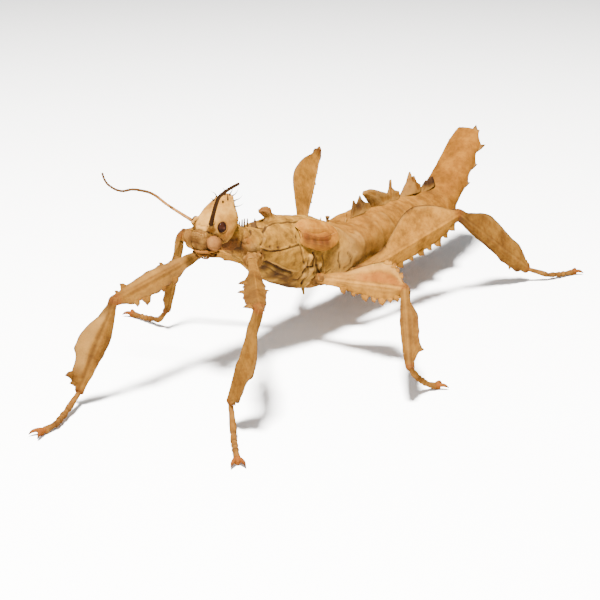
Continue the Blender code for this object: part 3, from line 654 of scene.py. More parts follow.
# Lobes of the back, each an outline of (y, z) in mm whose last side lies in the body, with a share
# of brown and one of orange. They are sharp at the rim and thick at the foot.
BACK_LOBES = (
    (((-18.7, 30.2), (-18.5, 31.1), (-19.3, 32.0), (-20.2, 32.7), (-20.3, 33.3), (-19.2, 33.6), (-17.6, 33.3),
      (-16.3, 32.8), (-15.8, 31.5), (-14.6, 30.7), (-13.8, 29.6)), 0.35, 0.8),
    (((12.6, 23.0), (13.2, 25.2), (13.6, 27.1), (14.1, 26.9), (14.8, 26.0), (15.6, 26.6), (16.3, 27.7),
      (17.0, 26.6), (18.4, 25.6), (20.2, 24.9), (21.4, 23.0)), 0.75, 0.0),
    (((21.0, 23.0), (20.4, 24.4), (18.9, 26.0), (17.2, 27.6), (17.6, 28.3), (20.0, 28.2), (22.5, 27.5),
      (26.5, 26.0), (29.5, 24.6), (30.0, 22.6)), 0.35, 0.0),
    (((26.6, 23.0), (27.8, 24.9), (28.4, 26.4), (28.6, 28.4), (29.4, 28.4), (29.8, 26.4), (31.0, 25.4),
      (33.0, 24.8), (33.5, 22.6)), 0.15, 0.2),
    (((32.6, 22.8), (34.6, 24.9), (36.2, 26.3), (37.3, 28.4), (37.7, 28.4), (38.6, 27.0), (39.7, 26.9),
      (41.2, 25.0), (42.8, 24.2), (43.2, 22.0)), 0.10, 0.3),
    (((42.6, 21.4), (43.6, 23.8), (45.2, 24.6), (46.2, 24.4), (47.2, 25.0), (48.6, 24.8), (50.0, 22.4)),
     0.9, 0.0),
)


def gap_to(places, start, end):
    """Distance of places from a straight line between two points, all in a plane."""
    start, way = np.array(start), np.array(end) - np.array(start)
    share = np.clip((places - start) @ way / (way @ way), 0, 1)
    return np.linalg.norm(places - start - share[:, None] * way, axis=1)


def back_lobe(outline, brown, orange):
    """Upright lobe on the mid-plane, its outline filled, cut fine and given its thickness."""
    bpy.ops.object.select_all(action="DESELECT")
    bpy.ops.mesh.primitive_circle_add(vertices=len(outline), radius=MM, fill_type="NGON")
    lobe = bpy.context.object
    move_to(lobe, np.array([(MIDLINE, y * MM, z * MM) for y, z in outline]))
    bpy.ops.object.mode_set(mode="EDIT")
    bpy.ops.mesh.select_all(action="SELECT")
    bpy.ops.mesh.quads_convert_to_tris()
    bpy.ops.mesh.subdivide(number_cuts=4)
    bpy.ops.mesh.subdivide(number_cuts=1)
    bpy.ops.object.mode_set(mode="OBJECT")
    apply(lobe, "SOLIDIFY", thickness=0.08 * MM, offset=0.0)
    co = points_of(lobe)
    flat = co[:, 1:] / MM
    rim = np.min([gap_to(flat, a, b) for a, b in zip(outline, outline[1:])], axis=0)
    foot = gap_to(flat, outline[-1], outline[0])
    half = 0.04 + np.minimum(0.14 * (1 - np.exp(-rim / 0.12)) + 0.42 * rim, 2.0 * foot)
    co[:, 0] = MIDLINE + np.sign(co[:, 0] - MIDLINE) * half * MM
    move_to(lobe, co)
    bpy.ops.object.mode_set(mode="EDIT")
    face_outwards()
    bpy.ops.object.mode_set(mode="OBJECT")
    height = np.clip((flat[:, 1] - back_height(flat[:, 0])) / 1.5, 0, 1)
    set_channel(lobe, "stain_and_shade", np.maximum(0.6 * np.exp(-rim / 0.2), brown * height))
    set_channel(lobe, "warm", orange * height)
    set_channel(lobe, "tip", 0.45 * height * (brown > 0.8))
    return lobe


skin = joined("body_skin", [skin] + [back_lobe(*lobe) for lobe in BACK_LOBES])

# The neck's folds are warmed red-brown and darkened as painted shade under the head, and the
# belly low between the front legs is darkened as painted shade.
y, z = points_of(skin)[:, 1:].T / MM
neck = np.clip((-28.4 - y) / 1.4, 0, 1) * np.clip((31.6 - z) / 1.5, 0, 1)
belly = np.interp(y, (-30, -24, -14, -8), (24.5, 21.0, 17.6, 14.8))
low = np.clip((belly - z) / 1.6, 0, 1) * np.clip((-9 - y) / 3, 0, 1)
deepen(skin, "stain_and_shade", np.maximum(0.72 * neck, 0.85 * low))
deepen(skin, "warm", 0.8 * neck)

# Soft wrinkles, which thin out along the body.
rumple(skin, 2.2, 0.22, lambda co: np.interp(co[:, 1], (-30, 8, 50), (1.0, 0.8, 0.3)))
rumple(skin, 0.9, 0.10, lambda co: np.interp(co[:, 1], (-26, -6, 12), (1.0, 0.9, 0.2)), (1, 0.6, 1), 3)
rumple(skin, 1.1, 0.24, lambda co: (co[:, 1] < -24.5) * 1.0, (0.7, 1.4, 0.7), 5)
read_relief(skin)

KHAKI = ((0.042, 0.018, 0.002), (0.095, 0.043, 0.005), (0.14, 0.069, 0.010))
ORANGE = ((0.056, 0.021, 0.002), (0.086, 0.034, 0.0035), (0.114, 0.048, 0.006))
TAIL = ((0.050, 0.0175, 0.001), (0.072, 0.0258, 0.002), (0.096, 0.037, 0.003))
trunk_finish = shell_finish("trunk_shell", KHAKI, zones=((1, -6, 6, ORANGE), (1, 36, 50, TAIL)))
finish_piece(skin, trunk_finish, "trunk", *BODY_NODES)

# ---- Thorns and bristles of the back --------------------------------------------------------
# Small horny thorns stand in a row on the thorax, hooks edge the tail, and behind the head is a
# row of thin bristles. All grow out of the skin, so their feet sit in it.


def stalk(name, points, radii, sides=4, steps=6):
    """Closed round stem through points, with a radius in mm at each, as one piece.

    Its channel "along" runs from 0 at the foot to 1 at the tip.
    """
    bpy.ops.object.select_all(action="DESELECT")
    bpy.ops.curve.primitive_bezier_curve_add(location=(0, 0, 0))
    stem = bpy.context.object
    stem.name = name
    spline = stem.data.splines[0]
    spline.bezier_points.add(len(points) - 2)
    for knot, point, radius in zip(spline.bezier_points, points, radii):
        knot.co = point
        knot.radius = radius
        knot.handle_left_type = "AUTO"
        knot.handle_right_type = "AUTO"
    stem.data.bevel_depth = MM
    stem.data.bevel_resolution = sides
    stem.data.resolution_u = steps
    stem.data.use_fill_caps = True
    bpy.ops.object.convert(target="MESH")
    stem = bpy.context.object
    bpy.ops.object.mode_set(mode="EDIT")
    bpy.ops.mesh.select_all(action="SELECT")
    bpy.ops.mesh.remove_doubles(threshold=WELD)
    face_outwards()
    bpy.ops.object.mode_set(mode="OBJECT")
    line = resampled(points, 0.15 * MM)
    run = np.concatenate(([0], np.cumsum(np.linalg.norm(np.diff(line, axis=0), axis=1))))
    nearest = np.array([np.linalg.norm(line - place, axis=1).argmin() for place in points_of(stem)])
    set_channel(stem, "along", run[nearest] / run[-1])
    return stem


def flatten(piece, place, way, share):
    """Press the piece towards the plane through a place, square to a way, by that share."""
    co, way = points_of(piece), np.array(way)
    co -= way * (((co - np.array(place)) @ way) * share)[:, None]
    move_to(piece, co)


def fill(piece, name, value):
    """Give all of a piece one value of a channel."""
    set_channel(piece, name, np.full(len(piece.data.vertices), value))


def thorn(name, foot, tip, radius, lean=0.12):
    """Thorn with a flared foot, a slight bend and a dark point."""
    bend = (tip - foot).cross(Vector((1, 0, 0))) * lean
    points = (foot - (tip - foot) * 0.12, foot.lerp(tip, 0.2), foot.lerp(tip, 0.55) + bend, tip)
    made = stalk(name, points, (1.5 * radius, 0.9 * radius, 0.5 * radius, 0.1 * radius), sides=2, steps=4)
    set_channel(made, "tip", np.clip((channel(made, "along") - 0.45) * 1.6, 0, 0.9))
    return made


# (y, angle, height, radius, lean backwards) in mm and degrees.
BACK_THORNS = ((-22.3, 6, 1.6, 0.55, 0.1), (0.4, 4, 0.8, 0.22, 0.1), (10.4, 2, 2.0, 0.24, 0.3),
               (-9.0, 150, 0.7, 0.40, 0.1), (-2.0, 152, 0.7, 0.25, 0.1), (3.4, -148, 0.7, 0.25, 0.1))
# (y, height) in mm.
BRISTLES = ((-26.6, 1.7), (-25.8, 1.9), (-25.1, 2.0), (-24.2, 1.9))
thorns = []
for y, angle, height, radius, lean in BACK_THORNS:
    top = on_skin(y, angle, height) + Vector((0, lean * MM, 0))
    thorns.append(thorn("thorn", on_skin(y, angle), top, radius))
# The first one, behind the bristles, is dark from its foot.
set_channel(thorns[0], "tip", 0.8 + 0.1 * channel(thorns[0], "along"))
for y, height in BRISTLES:
    points = [on_skin(y, 4, part * height - 0.2) for part in (0, 0.5, 1)]
    thorns.append(stalk("bristle", points, (0.22, 0.18, 0.12), sides=2, steps=3))
    fill(thorns[-1], "tip", 0.8)

# Hooked points down both edges of the tail: tips in mm, with x from the mid-plane. The left edge
# has one more, straight up at the tail's end.
TAIL_HOOKS = {
    1: ((2.1, 66.2, 34.6), (5.5, 64.7, 30.2), (5.3, 61.4, 25.9), (5.5, 57.7, 22.1), (5.2, 54.2, 20.3)),
    -1: ((4.8, 64.7, 30.2), (5.3, 61.4, 25.9), (5.5, 57.7, 22.1), (5.2, 54.2, 20.3)),
}
for side, tips in TAIL_HOOKS.items():
    for x, y, z in tips:
        at_end = z > 34
        tip = Vector((MIDLINE + side * x * MM, y * MM, z * MM))
        foot = tip - Vector((side * 0.1, 0.9, 1.7) if at_end else (side * 1.5, 0.9, 0.8)) * MM
        hook = stalk("hook", (foot - (tip - foot) * 0.4, foot.lerp(tip, 0.35), foot.lerp(tip, 0.7), tip),
                     (1.1, 0.75, 0.40, 0.08), sides=3)
        flatten(hook, foot, (0, 1, 0) if at_end else (0, -0.75, 0.66), 0.55)
        set_channel(hook, "stain_and_shade", np.clip((channel(hook, "along") - 0.2) * 1.6, 0, 0.95))
        thorns.append(hook)

# A small blunt stub that widens to the top.
foot, top = on_skin(3.2, 3, -0.4), on_skin(3.2, 3, 1.5)
stub = stalk("stub", [foot.lerp(top, part) for part in (0, 0.35, 0.7, 0.93, 1.0)],
             (0.50, 0.30, 0.36, 0.55, 0.40))
set_channel(stub, "stain_and_shade", 0.8 * channel(stub, "along"))
thorns = joined("back_thorns", thorns + [stub])
read_relief(thorns)
finish_piece(thorns, shell_finish("thorn_horn", TAIL, rough=0.45), "trunk")

# ---- Wing pads ------------------------------------------------------------------------------
# The short fore wings of a female lie over the flanks like small leaves: a stiff skin with one
# strong crease along the middle and fine veins. Each is pressed onto the flank below it.

wing_finish = shell_finish("wing_skin", ((0.070, 0.023, 0.002), (0.108, 0.040, 0.003), (0.14, 0.058, 0.006)),
                           rough=0.42, speckle=0.15, bump=0.3)
# How far each pad is pressed in, and how much further at its front end, in mm.
WING_PRESS = {1: 0.40, -1: 0.85}
WING_FRONT_PRESS = 0.45
for side, name in ((1, "wing_pad_left"), (-1, "wing_pad_right")):
    wing = welded_copy(f"{name}_skin", name)
    rounded(wing, 4)
    co = points_of(wing)
    middle = np.stack([np.full(len(co), MIDLINE), co[:, 1],
                       np.interp(co[:, 1], *(np.array(AXIS).T * MM))], axis=1)
    outward = (co - middle) / np.linalg.norm(co - middle, axis=1)[:, None]
    press = WING_PRESS[side] + WING_FRONT_PRESS * np.clip((-11.2 - co[:, 1] / MM) / 2, 0, 1)
    move_to(wing, co - outward * press[:, None] * MM)
    wing_tree = BVHTree.FromObject(wing, bpy.context.evaluated_depsgraph_get())

    def on_wing(y, angle):
        """Place on the outer face of the wing pad."""
        start, way = from_axis(y, side * angle)
        return wing_tree.ray_cast(start + way * 20 * MM, -way)[0]

    # The crease along the middle; it and the fold beside it are darkened warm brown as painted shade.
    crease = [on_wing(y, angle)
              for y, angle in ((-13.6, 49), (-11.5, 54), (-9.5, 57), (-7.5, 57), (-5.6, 54))]
    carve(wing, crease, 0.50, 1.05, 0.22, -side * 0.20)
    for y, angle in ((-12.4, 56), (-10.6, 61), (-8.6, 62), (-6.8, 61)):
        swell(wing, on_wing(y, angle), 1.4, -0.10, "warm", 0.95)
        swell(wing, on_wing(y, angle + 4), 1.5, 0.0, "stain_and_shade", 0.70)
    swell(wing, on_wing(-10.5, 42), 2.4, 0.25)
    swell(wing, on_wing(-8.6, 68), 2.0, 0.20)
    for start, end in ((40, 34), (44, 44), (62, 64), (66, 72)):
        vein = [on_wing(y, np.interp(y, (-13.5, -5), (start, end))) for y in (-13, -11, -9, -7, -5.4)]
        carve(wing, vein, -0.05, 0.14)
    rumple(wing, 1.6, 0.07, seed=11)
    read_relief(wing)
    finish_piece(wing, wing_finish, "wing", name)

# ---- Leg blades -----------------------------------------------------------------------------
# Femur and tibia are flat, leaf-like lobes with a raised rib, fine slanting veins and a toothed
# edge whose points are dark. The narrow ends are round and meet at the knee.

# Joints of each leg in mm: root and end of the coxa, knee, ankle.
LEG_JOINTS = {
    "fore_left": ((7.0, -24.1, 24.1), (8.0, -27.5, 25.6), (24.7, -46.6, 25.4), (17.8, -46.7, 5.4)),
    "fore_right": ((1.2, -24.3, 25.8), (0.1, -26.8, 27.5), (-4.8, -52.0, 22.1), (-11.8, -55.8, 3.0)),
    "middle_left": ((9.5, -8.0, 14.8), (11.1, -8.8, 16.8), (30.1, -6.7, 18.1), (39.5, -19.9, 8.4)),
    "middle_right": ((-1.1, -8.0, 14.8), (-2.7, -8.8, 16.8), (-17.4, -19.1, 23.8), (-23.3, -18.1, 4.7)),
    "hind_left": ((10.4, 2.4, 13.3), (12.0, 4.7, 14.5), (19.5, 33.4, 21.6), (27.2, 56.1, 3.7)),
    "hind_right": ((-2.5, 1.9, 13.3), (-4.8, 3.9, 14.5), (-15.8, 28.7, 31.9), (-28.0, 35.8, 4.6)),
}
THIN_RIM = 0.85 * MM
# Teeth of the rims: 1 for the blade's outer half and -1 for its inner one, places along it, and
# height in mm.
TEETH = {
    "femur_fore_left": ((-1, (0.48, 0.66, 0.94), 1.25), (1, (0.64,), 0.6)),
    "femur_fore_right": ((1, (0.40, 0.54, 0.89, 0.95), 0.8), (-1, (0.50, 0.62, 0.78, 0.86), 1.1)),
    "femur_middle_left": ((1, (0.72, 0.77, 0.82, 0.87, 0.92), 0.7),
                          (-1, (0.30, 0.42, 0.55, 0.66, 0.75, 0.84, 0.92), 1.0)),
    "femur_hind_left": ((-1, (0.38, 0.50, 0.60, 0.69, 0.78, 0.86, 0.93), 1.3),),
    "femur_hind_right": ((-1, (0.40, 0.52, 0.62, 0.71, 0.80, 0.88), 0.5),),
    "tibia_fore_left": ((1, (0.95,), 0.5),),
    "tibia_fore_right": ((1, (0.85, 0.93), 1.0),),
    "tibia_middle_left": ((1, (0.80,), 0.5),),
    "tibia_hind_left": ((1, (0.96,), 0.5), (-1, (0.80,), 0.6)),
    "tibia_hind_right": ((1, (0.96,), 0.5), (-1, (0.80,), 0.6)),
}
# Painted bands of some blades: half, from and to across it, from and to along it, channel, share.
BANDS = {
    "femur_middle_left": ((1, 0.58, 1.3, 0.24, 1.1, "pale_and_highlight", 0.30), (1, 0.06, 0.62, 0.38, 1.05, "warm", 0.60),
                          (-1, 0.12, 0.40, 0.1, 1.0, "pale_and_highlight", 0.14), (-1, 0.44, 0.68, 0.2, 1.0, "pale_and_highlight", 0.08),
                          (-1, 0.32, 0.52, 0.1, 1.0, "stain_and_shade", 0.40)),
    "tibia_middle_left": ((-1, 0.1, 0.5, 0.1, 0.9, "pale_and_highlight", 0.10), (1, 0.30, 0.55, 0.1, 0.9, "stain_and_shade", 0.45),
                          (1, 0.0, 1.4, -0.1, 1.2, "stain_and_shade", 0.14), (-1, 0.0, 1.4, -0.1, 1.2, "stain_and_shade", 0.14)),
    "tibia_fore_right": ((1, 0.22, 1.4, 0.04, 0.85, "pale_and_highlight", 0.32), (1, 0.0, 0.26, 0.1, 0.95, "stain_and_shade", 0.5)),
    "femur_fore_left": ((-1, 0.0, 1.4, 0.25, 1.2, "stain_and_shade", 0.36), (1, 0.0, 1.4, 0.25, 1.2, "stain_and_shade", 0.16)),
    "femur_fore_right": ((1, 0.2, 1.3, 0.1, 1.0, "pale_and_highlight", 0.14), (-1, 0.2, 1.3, 0.1, 1.0, "pale_and_highlight", 0.10),
                         (-1, 0.0, 0.2, 0.1, 1.0, "stain_and_shade", 0.45)),
    # Painted shadow in the hollow of the hind left knee, on both femur and tibia.
    "femur_hind_left": ((-1, 0.0, 1.2, 0.90, 1.2, "stain_and_shade", 0.8),),
    "tibia_hind_left": ((-1, 0.0, 1.2, -0.1, 0.14, "stain_and_shade", 0.9),),
    "femur_middle_right": ((1, 0.5, 1.2, 0.1, 0.9, "stain_and_shade", 0.25),),
}
BAND_FEATHER = 0.14
# How pale the rib and the two lesser ribs beside it are.
RIBS = {"femur_fore_left": (0.0, 0.0), "tibia_fore_left": (0.0, 0.0), "femur_hind_left": (0.0, 0.0),
        "femur_middle_left": (0.12, 0.06), "tibia_middle_left": (0.12, 0.08)}
PLAIN_RIBS = (0.06, 0.03)
# Stretches into which a blade's length is cut to measure the reach of its rims.
STRETCHES = 120


def round_end(piece, along, keep_from, joint):
    """Cut the piece square to its length and draw the cut into a rounded end round a joint."""
    bpy.ops.object.mode_set(mode="EDIT")
    bpy.ops.mesh.select_all(action="SELECT")
    bpy.ops.mesh.bisect(plane_co=keep_from, plane_no=-along, clear_outer=True)
    pick(piece, "EDGE", lambda e: e.is_boundary)
    centre = np.mean([v.co for v in bmesh.from_edit_mesh(piece.data).verts if v.select], axis=0)
    step = (np.array(joint) - centre) / 2
    for scale in (1.0, 0.95, 0.6):
        bpy.ops.mesh.extrude_region_move(TRANSFORM_OT_translate={"value": step})
        centre = centre + step
        bpy.ops.transform.resize(value=(scale, scale, scale), center_override=centre)
    bpy.ops.mesh.edge_face_add()
    face_outwards()
    bpy.ops.object.mode_set(mode="OBJECT")


def blade_cage(node, start, end, outward):
    """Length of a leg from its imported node, and its ways along, across and out of the blade."""
    piece = welded_copy(f"{node}_shell", node)
    along = (end - start).normalized()
    length = (end - start).length
    round_end(piece, along, start + along * 0.07 * length, start)
    round_end(piece, -along, end - along * 0.035 * length, end)
    co = points_of(piece)
    across = Vector(np.linalg.svd(co - co.mean(0), full_matrices=False)[2][1])
    across = (across - along * across.dot(along)).normalized()
    across *= math.copysign(1, across.dot(outward))
    normal = along.cross(across)

    def crosses_rim(edge):
        way = edge.verts[1].co - edge.verts[0].co
        side = abs(((edge.verts[0].co + edge.verts[1].co) / 2 - start).dot(across))
        return way.length < THIN_RIM and abs(way.dot(normal)) > 0.75 * way.length and side > 0.9 * MM

    # The narrow strip round the edge is closed to a thin sharp rim.
    bpy.ops.object.mode_set(mode="EDIT")
    pick(piece, "EDGE", crosses_rim)
    bpy.ops.mesh.merge(type="COLLAPSE")
    bpy.ops.mesh.select_mode(type="EDGE")
    bpy.ops.mesh.select_all(action="DESELECT")
    bpy.ops.mesh.edges_select_sharp(sharpness=math.radians(60))
    bpy.ops.transform.edge_crease(value=0.85)
    bpy.ops.object.mode_set(mode="OBJECT")
    return piece, along, across, normal


def blade_piece(node, start, end, outward, seed):
    """Leaf-like length of a leg: thin rims, sharp teeth, rib and veins."""
    start, end = Vector(start) * MM, Vector(end) * MM
    length = (end - start).length
    piece, along, across, normal = blade_cage(node, start, end, outward)
    rounded(piece, 3)

    # Each point's place along the blade, across it and in from its rim.
    rel = points_of(piece) - np.array(start)
    u = rel @ np.array(along) / length
    w = rel @ np.array(across)
    outer = w > 0
    bins = np.linspace(0, 1, STRETCHES + 1)
    reach = np.zeros((2, len(bins)))
    for half in (0, 1):
        chosen = outer if half else ~outer
        slot = np.clip(np.round(u[chosen] * STRETCHES).astype(int), 0, STRETCHES)
        np.maximum.at(reach[half], slot, np.abs(w[chosen]))
        reach[half] = np.interp(bins, bins[reach[half] > 0], reach[half][reach[half] > 0])
    soft = np.array([np.convolve(np.pad(row, 6, mode="edge"), np.ones(13) / 13, "valid") for row in reach])
    half_width = np.where(outer, np.interp(u, bins, reach[1]), np.interp(u, bins, reach[0]))
    even_width = np.where(outer, np.interp(u, bins, soft[1]), np.interp(u, bins, soft[0]))
    inward = np.clip(half_width - np.abs(w), 0, None)
    web = np.clip((half_width - 1.1 * MM) / (0.8 * MM), 0, 1)

    # Slanting veins and lesser ribs, raised a little.
    slant = (u * length + 1.5 * np.abs(w)) / (2.3 * MM) + 0.45 * np.sin(u * 7 + seed)
    vein = np.exp(-((slant - np.round(slant)) / 0.08) ** 2) * web * np.clip(inward / (0.5 * MM), 0, 1)
    vein *= np.clip(np.abs(w) / (0.6 * MM), 0, 1)
    rib = np.exp(-(w / (0.30 * MM)) ** 2)
    second = np.exp(-((np.abs(w) - 0.45 * half_width) / (0.16 * MM)) ** 2) * web
    move_to(piece, points_of(piece) + normals_of(piece) * ((0.02 * vein + 0.04 * second) * MM)[:, None])
    rumple(piece, 2.4, 0.13, seed=seed)
    read_relief(piece, share=0.55)

    # Pale ribs, a rim darkened as painted shade along the edge, dark points, a line beside the rib and shades
    # at the joints.
    edge = np.exp(-inward / (0.20 * MM)) * np.clip(half_width / MM - 0.8, 0, 1)
    point = np.clip((half_width - even_width) / (0.30 * MM), 0, 1) * np.exp(-inward / (0.45 * MM)) * web
    beside = np.exp(-((w - 0.5 * MM) / (0.16 * MM)) ** 2)
    ends = np.exp(-((u - 1.0) / 0.035) ** 2) + np.exp(-(u / 0.03) ** 2)
    main, lesser = RIBS.get(node, PLAIN_RIBS)
    paint = {"pale_and_highlight": 0.02 * vein + main * rib + lesser * second,
             "stain_and_shade": 0.9 * edge + (0.22 + 0.8 * main) * beside + 0.35 * ends,
             "tip": 1.2 * point, "warm": 0.6 * ends}
    inside = np.abs(w) / np.maximum(half_width, 0.3 * MM)
    for half, low, high, first, last, name, share in BANDS.get(node, ()):
        fades = (inside - low, high - inside, u - first, last - u)
        band = np.prod([np.clip(fade / BAND_FEATHER, 0, 1) for fade in fades], axis=0) * (w * half > 0)
        paint[name] = np.maximum(paint[name], share * band)
    for name, values in paint.items():
        set_channel(piece, name, np.clip(values, 0, 0.92))

    # A tooth is a flat point of the blade, not a round spine.
    co = points_of(piece)
    teeth = []
    for half, shares, height in TEETH.get(node, ()):
        for turn, share in enumerate(shares):
            rim = half * np.interp(share, bins, reach[1 if half > 0 else 0])
            foot = Vector(co[(np.abs(u - share) + np.abs(w - rim) / length).argmin()])
            size = height * (1 - 0.3 * (turn % 2))
            tip = foot + (across * half + along * 0.5) * size * MM
            points = (foot - across * half * 0.4 * MM, foot.lerp(tip, 0.33), foot.lerp(tip, 0.66), tip)
            tooth = stalk("tooth", points, [size * r for r in (1.05, 0.72, 0.38, 0.06)], sides=2, steps=4)
            set_channel(tooth, "tip", np.clip((channel(tooth, "along") - 0.4) * 1.3, 0, 0.75))
            flatten(tooth, foot, normal, 0.75)
            teeth.append(tooth)
    return joined(piece.name, [piece] + teeth) if teeth else piece


LEG_LIGHT = ((0.060, 0.0235, 0.0023), (0.100, 0.041, 0.0042), (0.132, 0.057, 0.0072))
LEG_DARK = ((0.034, 0.0125, 0.0012), (0.053, 0.021, 0.0022), (0.074, 0.032, 0.004))
leg_light = shell_finish("leg_light_shell", LEG_LIGHT, speckle=0.25, bump=0.4)
leg_dark = shell_finish("leg_dark_shell", LEG_DARK, speckle=0.25, bump=0.4)
for number, (leg, (root, base, knee, ankle)) in enumerate(LEG_JOINTS.items()):
    thigh = (Vector(knee) - Vector(base)).normalized()
    bend = (Vector(ankle) - Vector(knee)).normalized()
    femur = blade_piece(f"femur_{leg}", base, knee, thigh * bend.dot(thigh) - bend, number)
    finish_piece(femur, leg_dark if "fore" in leg else leg_light, "leg", f"femur_{leg}")
    tibia = blade_piece(f"tibia_{leg}", knee, ankle, thigh, number + 20)
    finish_piece(tibia, leg_dark, "leg", f"tibia_{leg}")

# ---- Leg roots ------------------------------------------------------------------------------
# A short stout coxa swings each leg at the thorax, in a ring of soft folds. A narrow waist and
# a small ring joint lie between it and the femur.

ROOT = ((0.020, 0.0075, 0.001), (0.043, 0.0165, 0.0022), (0.070, 0.030, 0.005))
root_finish = shell_finish("root_skin", ROOT, speckle=0.4, bump=0.6)
for number, (leg, (root, base, knee, ankle)) in enumerate(LEG_JOINTS.items()):
    root, base, knee = (Vector(place) * MM for place in (root, base, knee))
    root.x = 0.6 * root.x + 0.4 * MIDLINE
    root.z = 0.4 * root.z + 0.6 * base.z
    # The fore legs' roots are stouter, with a raised shoulder.
    stout, shoulder = (1.3, 1.6) if "fore" in leg else (1.05, 0.0)
    points = (root - (base - root) * 0.3, root + Vector((0, 0, shoulder * MM)), root.lerp(base, 0.35),
              root.lerp(base, 0.7), root.lerp(base, 0.92), base, base + (knee - base).normalized() * 1.6 * MM)
    coxa = stalk(f"coxa_{leg}_skin", points, [r * stout for r in (1.9, 1.8, 1.65, 1.45, 1.05, 1.2, 0.85)],
                 sides=8, steps=8)
    rounded(coxa, 1)
    rumple(coxa, 0.9, 0.30, seed=30 + number)
    rumple(coxa, 0.45, 0.12, seed=40 + number)
    read_relief(coxa, share=0.6)
    finish_piece(coxa, root_finish, "leg", f"coxa_{leg}")

# ---- Feet -----------------------------------------------------------------------------------
# Five short joints, each wider at its far end, then a round orange pad and two curved claws
# with dark points. The pads stand on the floor.

# The way of each foot over the floor, in mm, after its ankle.
FOOT_WAYS = {
    "fore_left": ((19.2, -47.9, 2.5), (21.9, -51.0, 1.0), (26.6, -55.9, 0.8)),
    "fore_right": ((-10.0, -61.1, 1.5), (-8.4, -65.1, 1.1), (-8.7, -68.2, 0.8)),
    "middle_left": ((38.4, -15.0, 4.3), (38.6, -11.7, 1.8), (39.6, -9.8, 0.8)),
    "middle_right": ((-26.3, -17.5, 1.8), (-31.0, -16.8, 1.0), (-34.9, -16.5, 0.8)),
    "hind_left": ((30.7, 60.7, 1.5), (32.3, 64.2, 1.0), (34.0, 68.1, 0.8)),
    "hind_right": ((-31.4, 39.2, 1.5), (-35.1, 41.3, 1.0), (-39.3, 43.3, 0.8)),
}
# Part of the foot's length at the end of each of its joints, and the radii (mm) along a joint.
FOOT_JOINTS = (0.42, 0.58, 0.70, 0.80, 1.0)
JOINT_RADII = ((0.0, 0.48), (0.25, 0.52), (0.8, 0.68), (0.97, 0.61))
# Places on a claw, in mm: ahead of the foot's tip, aside of it and above it.
CLAW = ((-0.2, 0.1, 0.1), (0.8, 0.55, 0.3), (1.6, 1.0, 0.2), (2.3, 1.3, -0.3))
FOOT = ((0.034, 0.0125, 0.0015), (0.054, 0.021, 0.0028), (0.078, 0.033, 0.005))
CLAW_HORN = ((0.030, 0.009, 0.001), (0.055, 0.018, 0.002), (0.08, 0.03, 0.004))
foot_finish = shell_finish("foot_shell", FOOT, speckle=0.3, bump=0.4)
claw_finish = shell_finish("claw_horn", CLAW_HORN, rough=0.35, speckle=0.2, bump=0.2)


def place_along(line, share):
    """Place at that share of a line's length."""
    runs = [(b - a).length for a, b in zip(line, line[1:])]
    left = share * sum(runs)
    for a, b, run in zip(line, line[1:], runs):
        if left <= run:
            return a.lerp(b, left / run)
        left -= run
    return line[-1]


def ball_piece(name, segments, rings, radius, place=(0, 0, 0)):
    """New round piece at a place."""
    bpy.ops.object.select_all(action="DESELECT")
    bpy.ops.mesh.primitive_uv_sphere_add(segments=segments, ring_count=rings, radius=radius, location=place)
    ball = bpy.context.object
    ball.name = name
    return ball


def keep_above(piece, height):
    """Press whatever hangs lower than that height flat on it."""
    co = points_of(piece)
    co[:, 2] = np.maximum(co[:, 2], height)
    move_to(piece, co)


for leg, way in FOOT_WAYS.items():
    line = [Vector(place) * MM for place in (LEG_JOINTS[leg][3], *way)]
    points, radii = [], []
    for before, share in zip((0.0, *FOOT_JOINTS), FOOT_JOINTS):
        for part, radius in JOINT_RADII:
            points.append(place_along(line, before + (share - before) * part))
            radii.append(radius)
    foot = stalk(f"tarsus_{leg}_shell", points, radii, sides=5, steps=3)
    along = channel(foot, "along")
    rings = sum(np.exp(-((along - share) / 0.018) ** 2) for share in FOOT_JOINTS[:4])
    set_channel(foot, "stain_and_shade", np.clip(0.45 * rings, 0, 0.8))

    # Pad under the tip, flattened on the floor.
    tip = line[-1]
    ahead = tip - line[-2]
    ahead.z = 0
    ahead.normalize()
    aside = Vector((-ahead.y, ahead.x, 0))
    pad = ball_piece("pad", 20, 14, 0.68 * MM, tip + ahead * 0.5 * MM)
    pad.scale = (1.0, 1.0, 1.1)
    bpy.ops.object.transform_apply(location=True, rotation=True, scale=True)
    keep_above(pad, 0)
    foot = joined(foot.name, [foot, pad])
    rumple(foot, 0.8, 0.06, lambda co: (co[:, 2] > 0.2) * 1.0)
    read_relief(foot, share=0.2)
    gap = np.linalg.norm(points_of(foot) - np.array(tip + ahead * 0.8 * MM), axis=1)
    set_channel(foot, "warm", 0.8 * np.exp(-(gap / (1.2 * MM)) ** 4))
    finish_piece(foot, foot_finish, "foot", f"tarsus_{leg}")

    claws = []
    for side in (1, -1):
        points = [tip + ahead * a * MM + aside * side * b * MM + Vector((0, 0, h * MM)) for a, b, h in CLAW]
        claw = stalk("claw", points, (0.46, 0.42, 0.32, 0.08), sides=3, steps=5)
        set_channel(claw, "tip", np.clip((channel(claw, "along") - 0.66) * 3.2, 0, 0.9))
        fill(claw, "warm", 0.5)
        claws.append(claw)
    claws = joined(f"claws_{leg}", claws)
    keep_above(claws, 0.05 * MM)
    finish_piece(claws, claw_finish, "foot")

# ---- Head -----------------------------------------------------------------------------------
# One hard shell like a tall pointed helmet. Small knobs and hairs stand on its crest, the
# feelers sit in ringed sockets, and a ridge crosses the face above the mouth.

head = welded_copy("head_skin", "head")
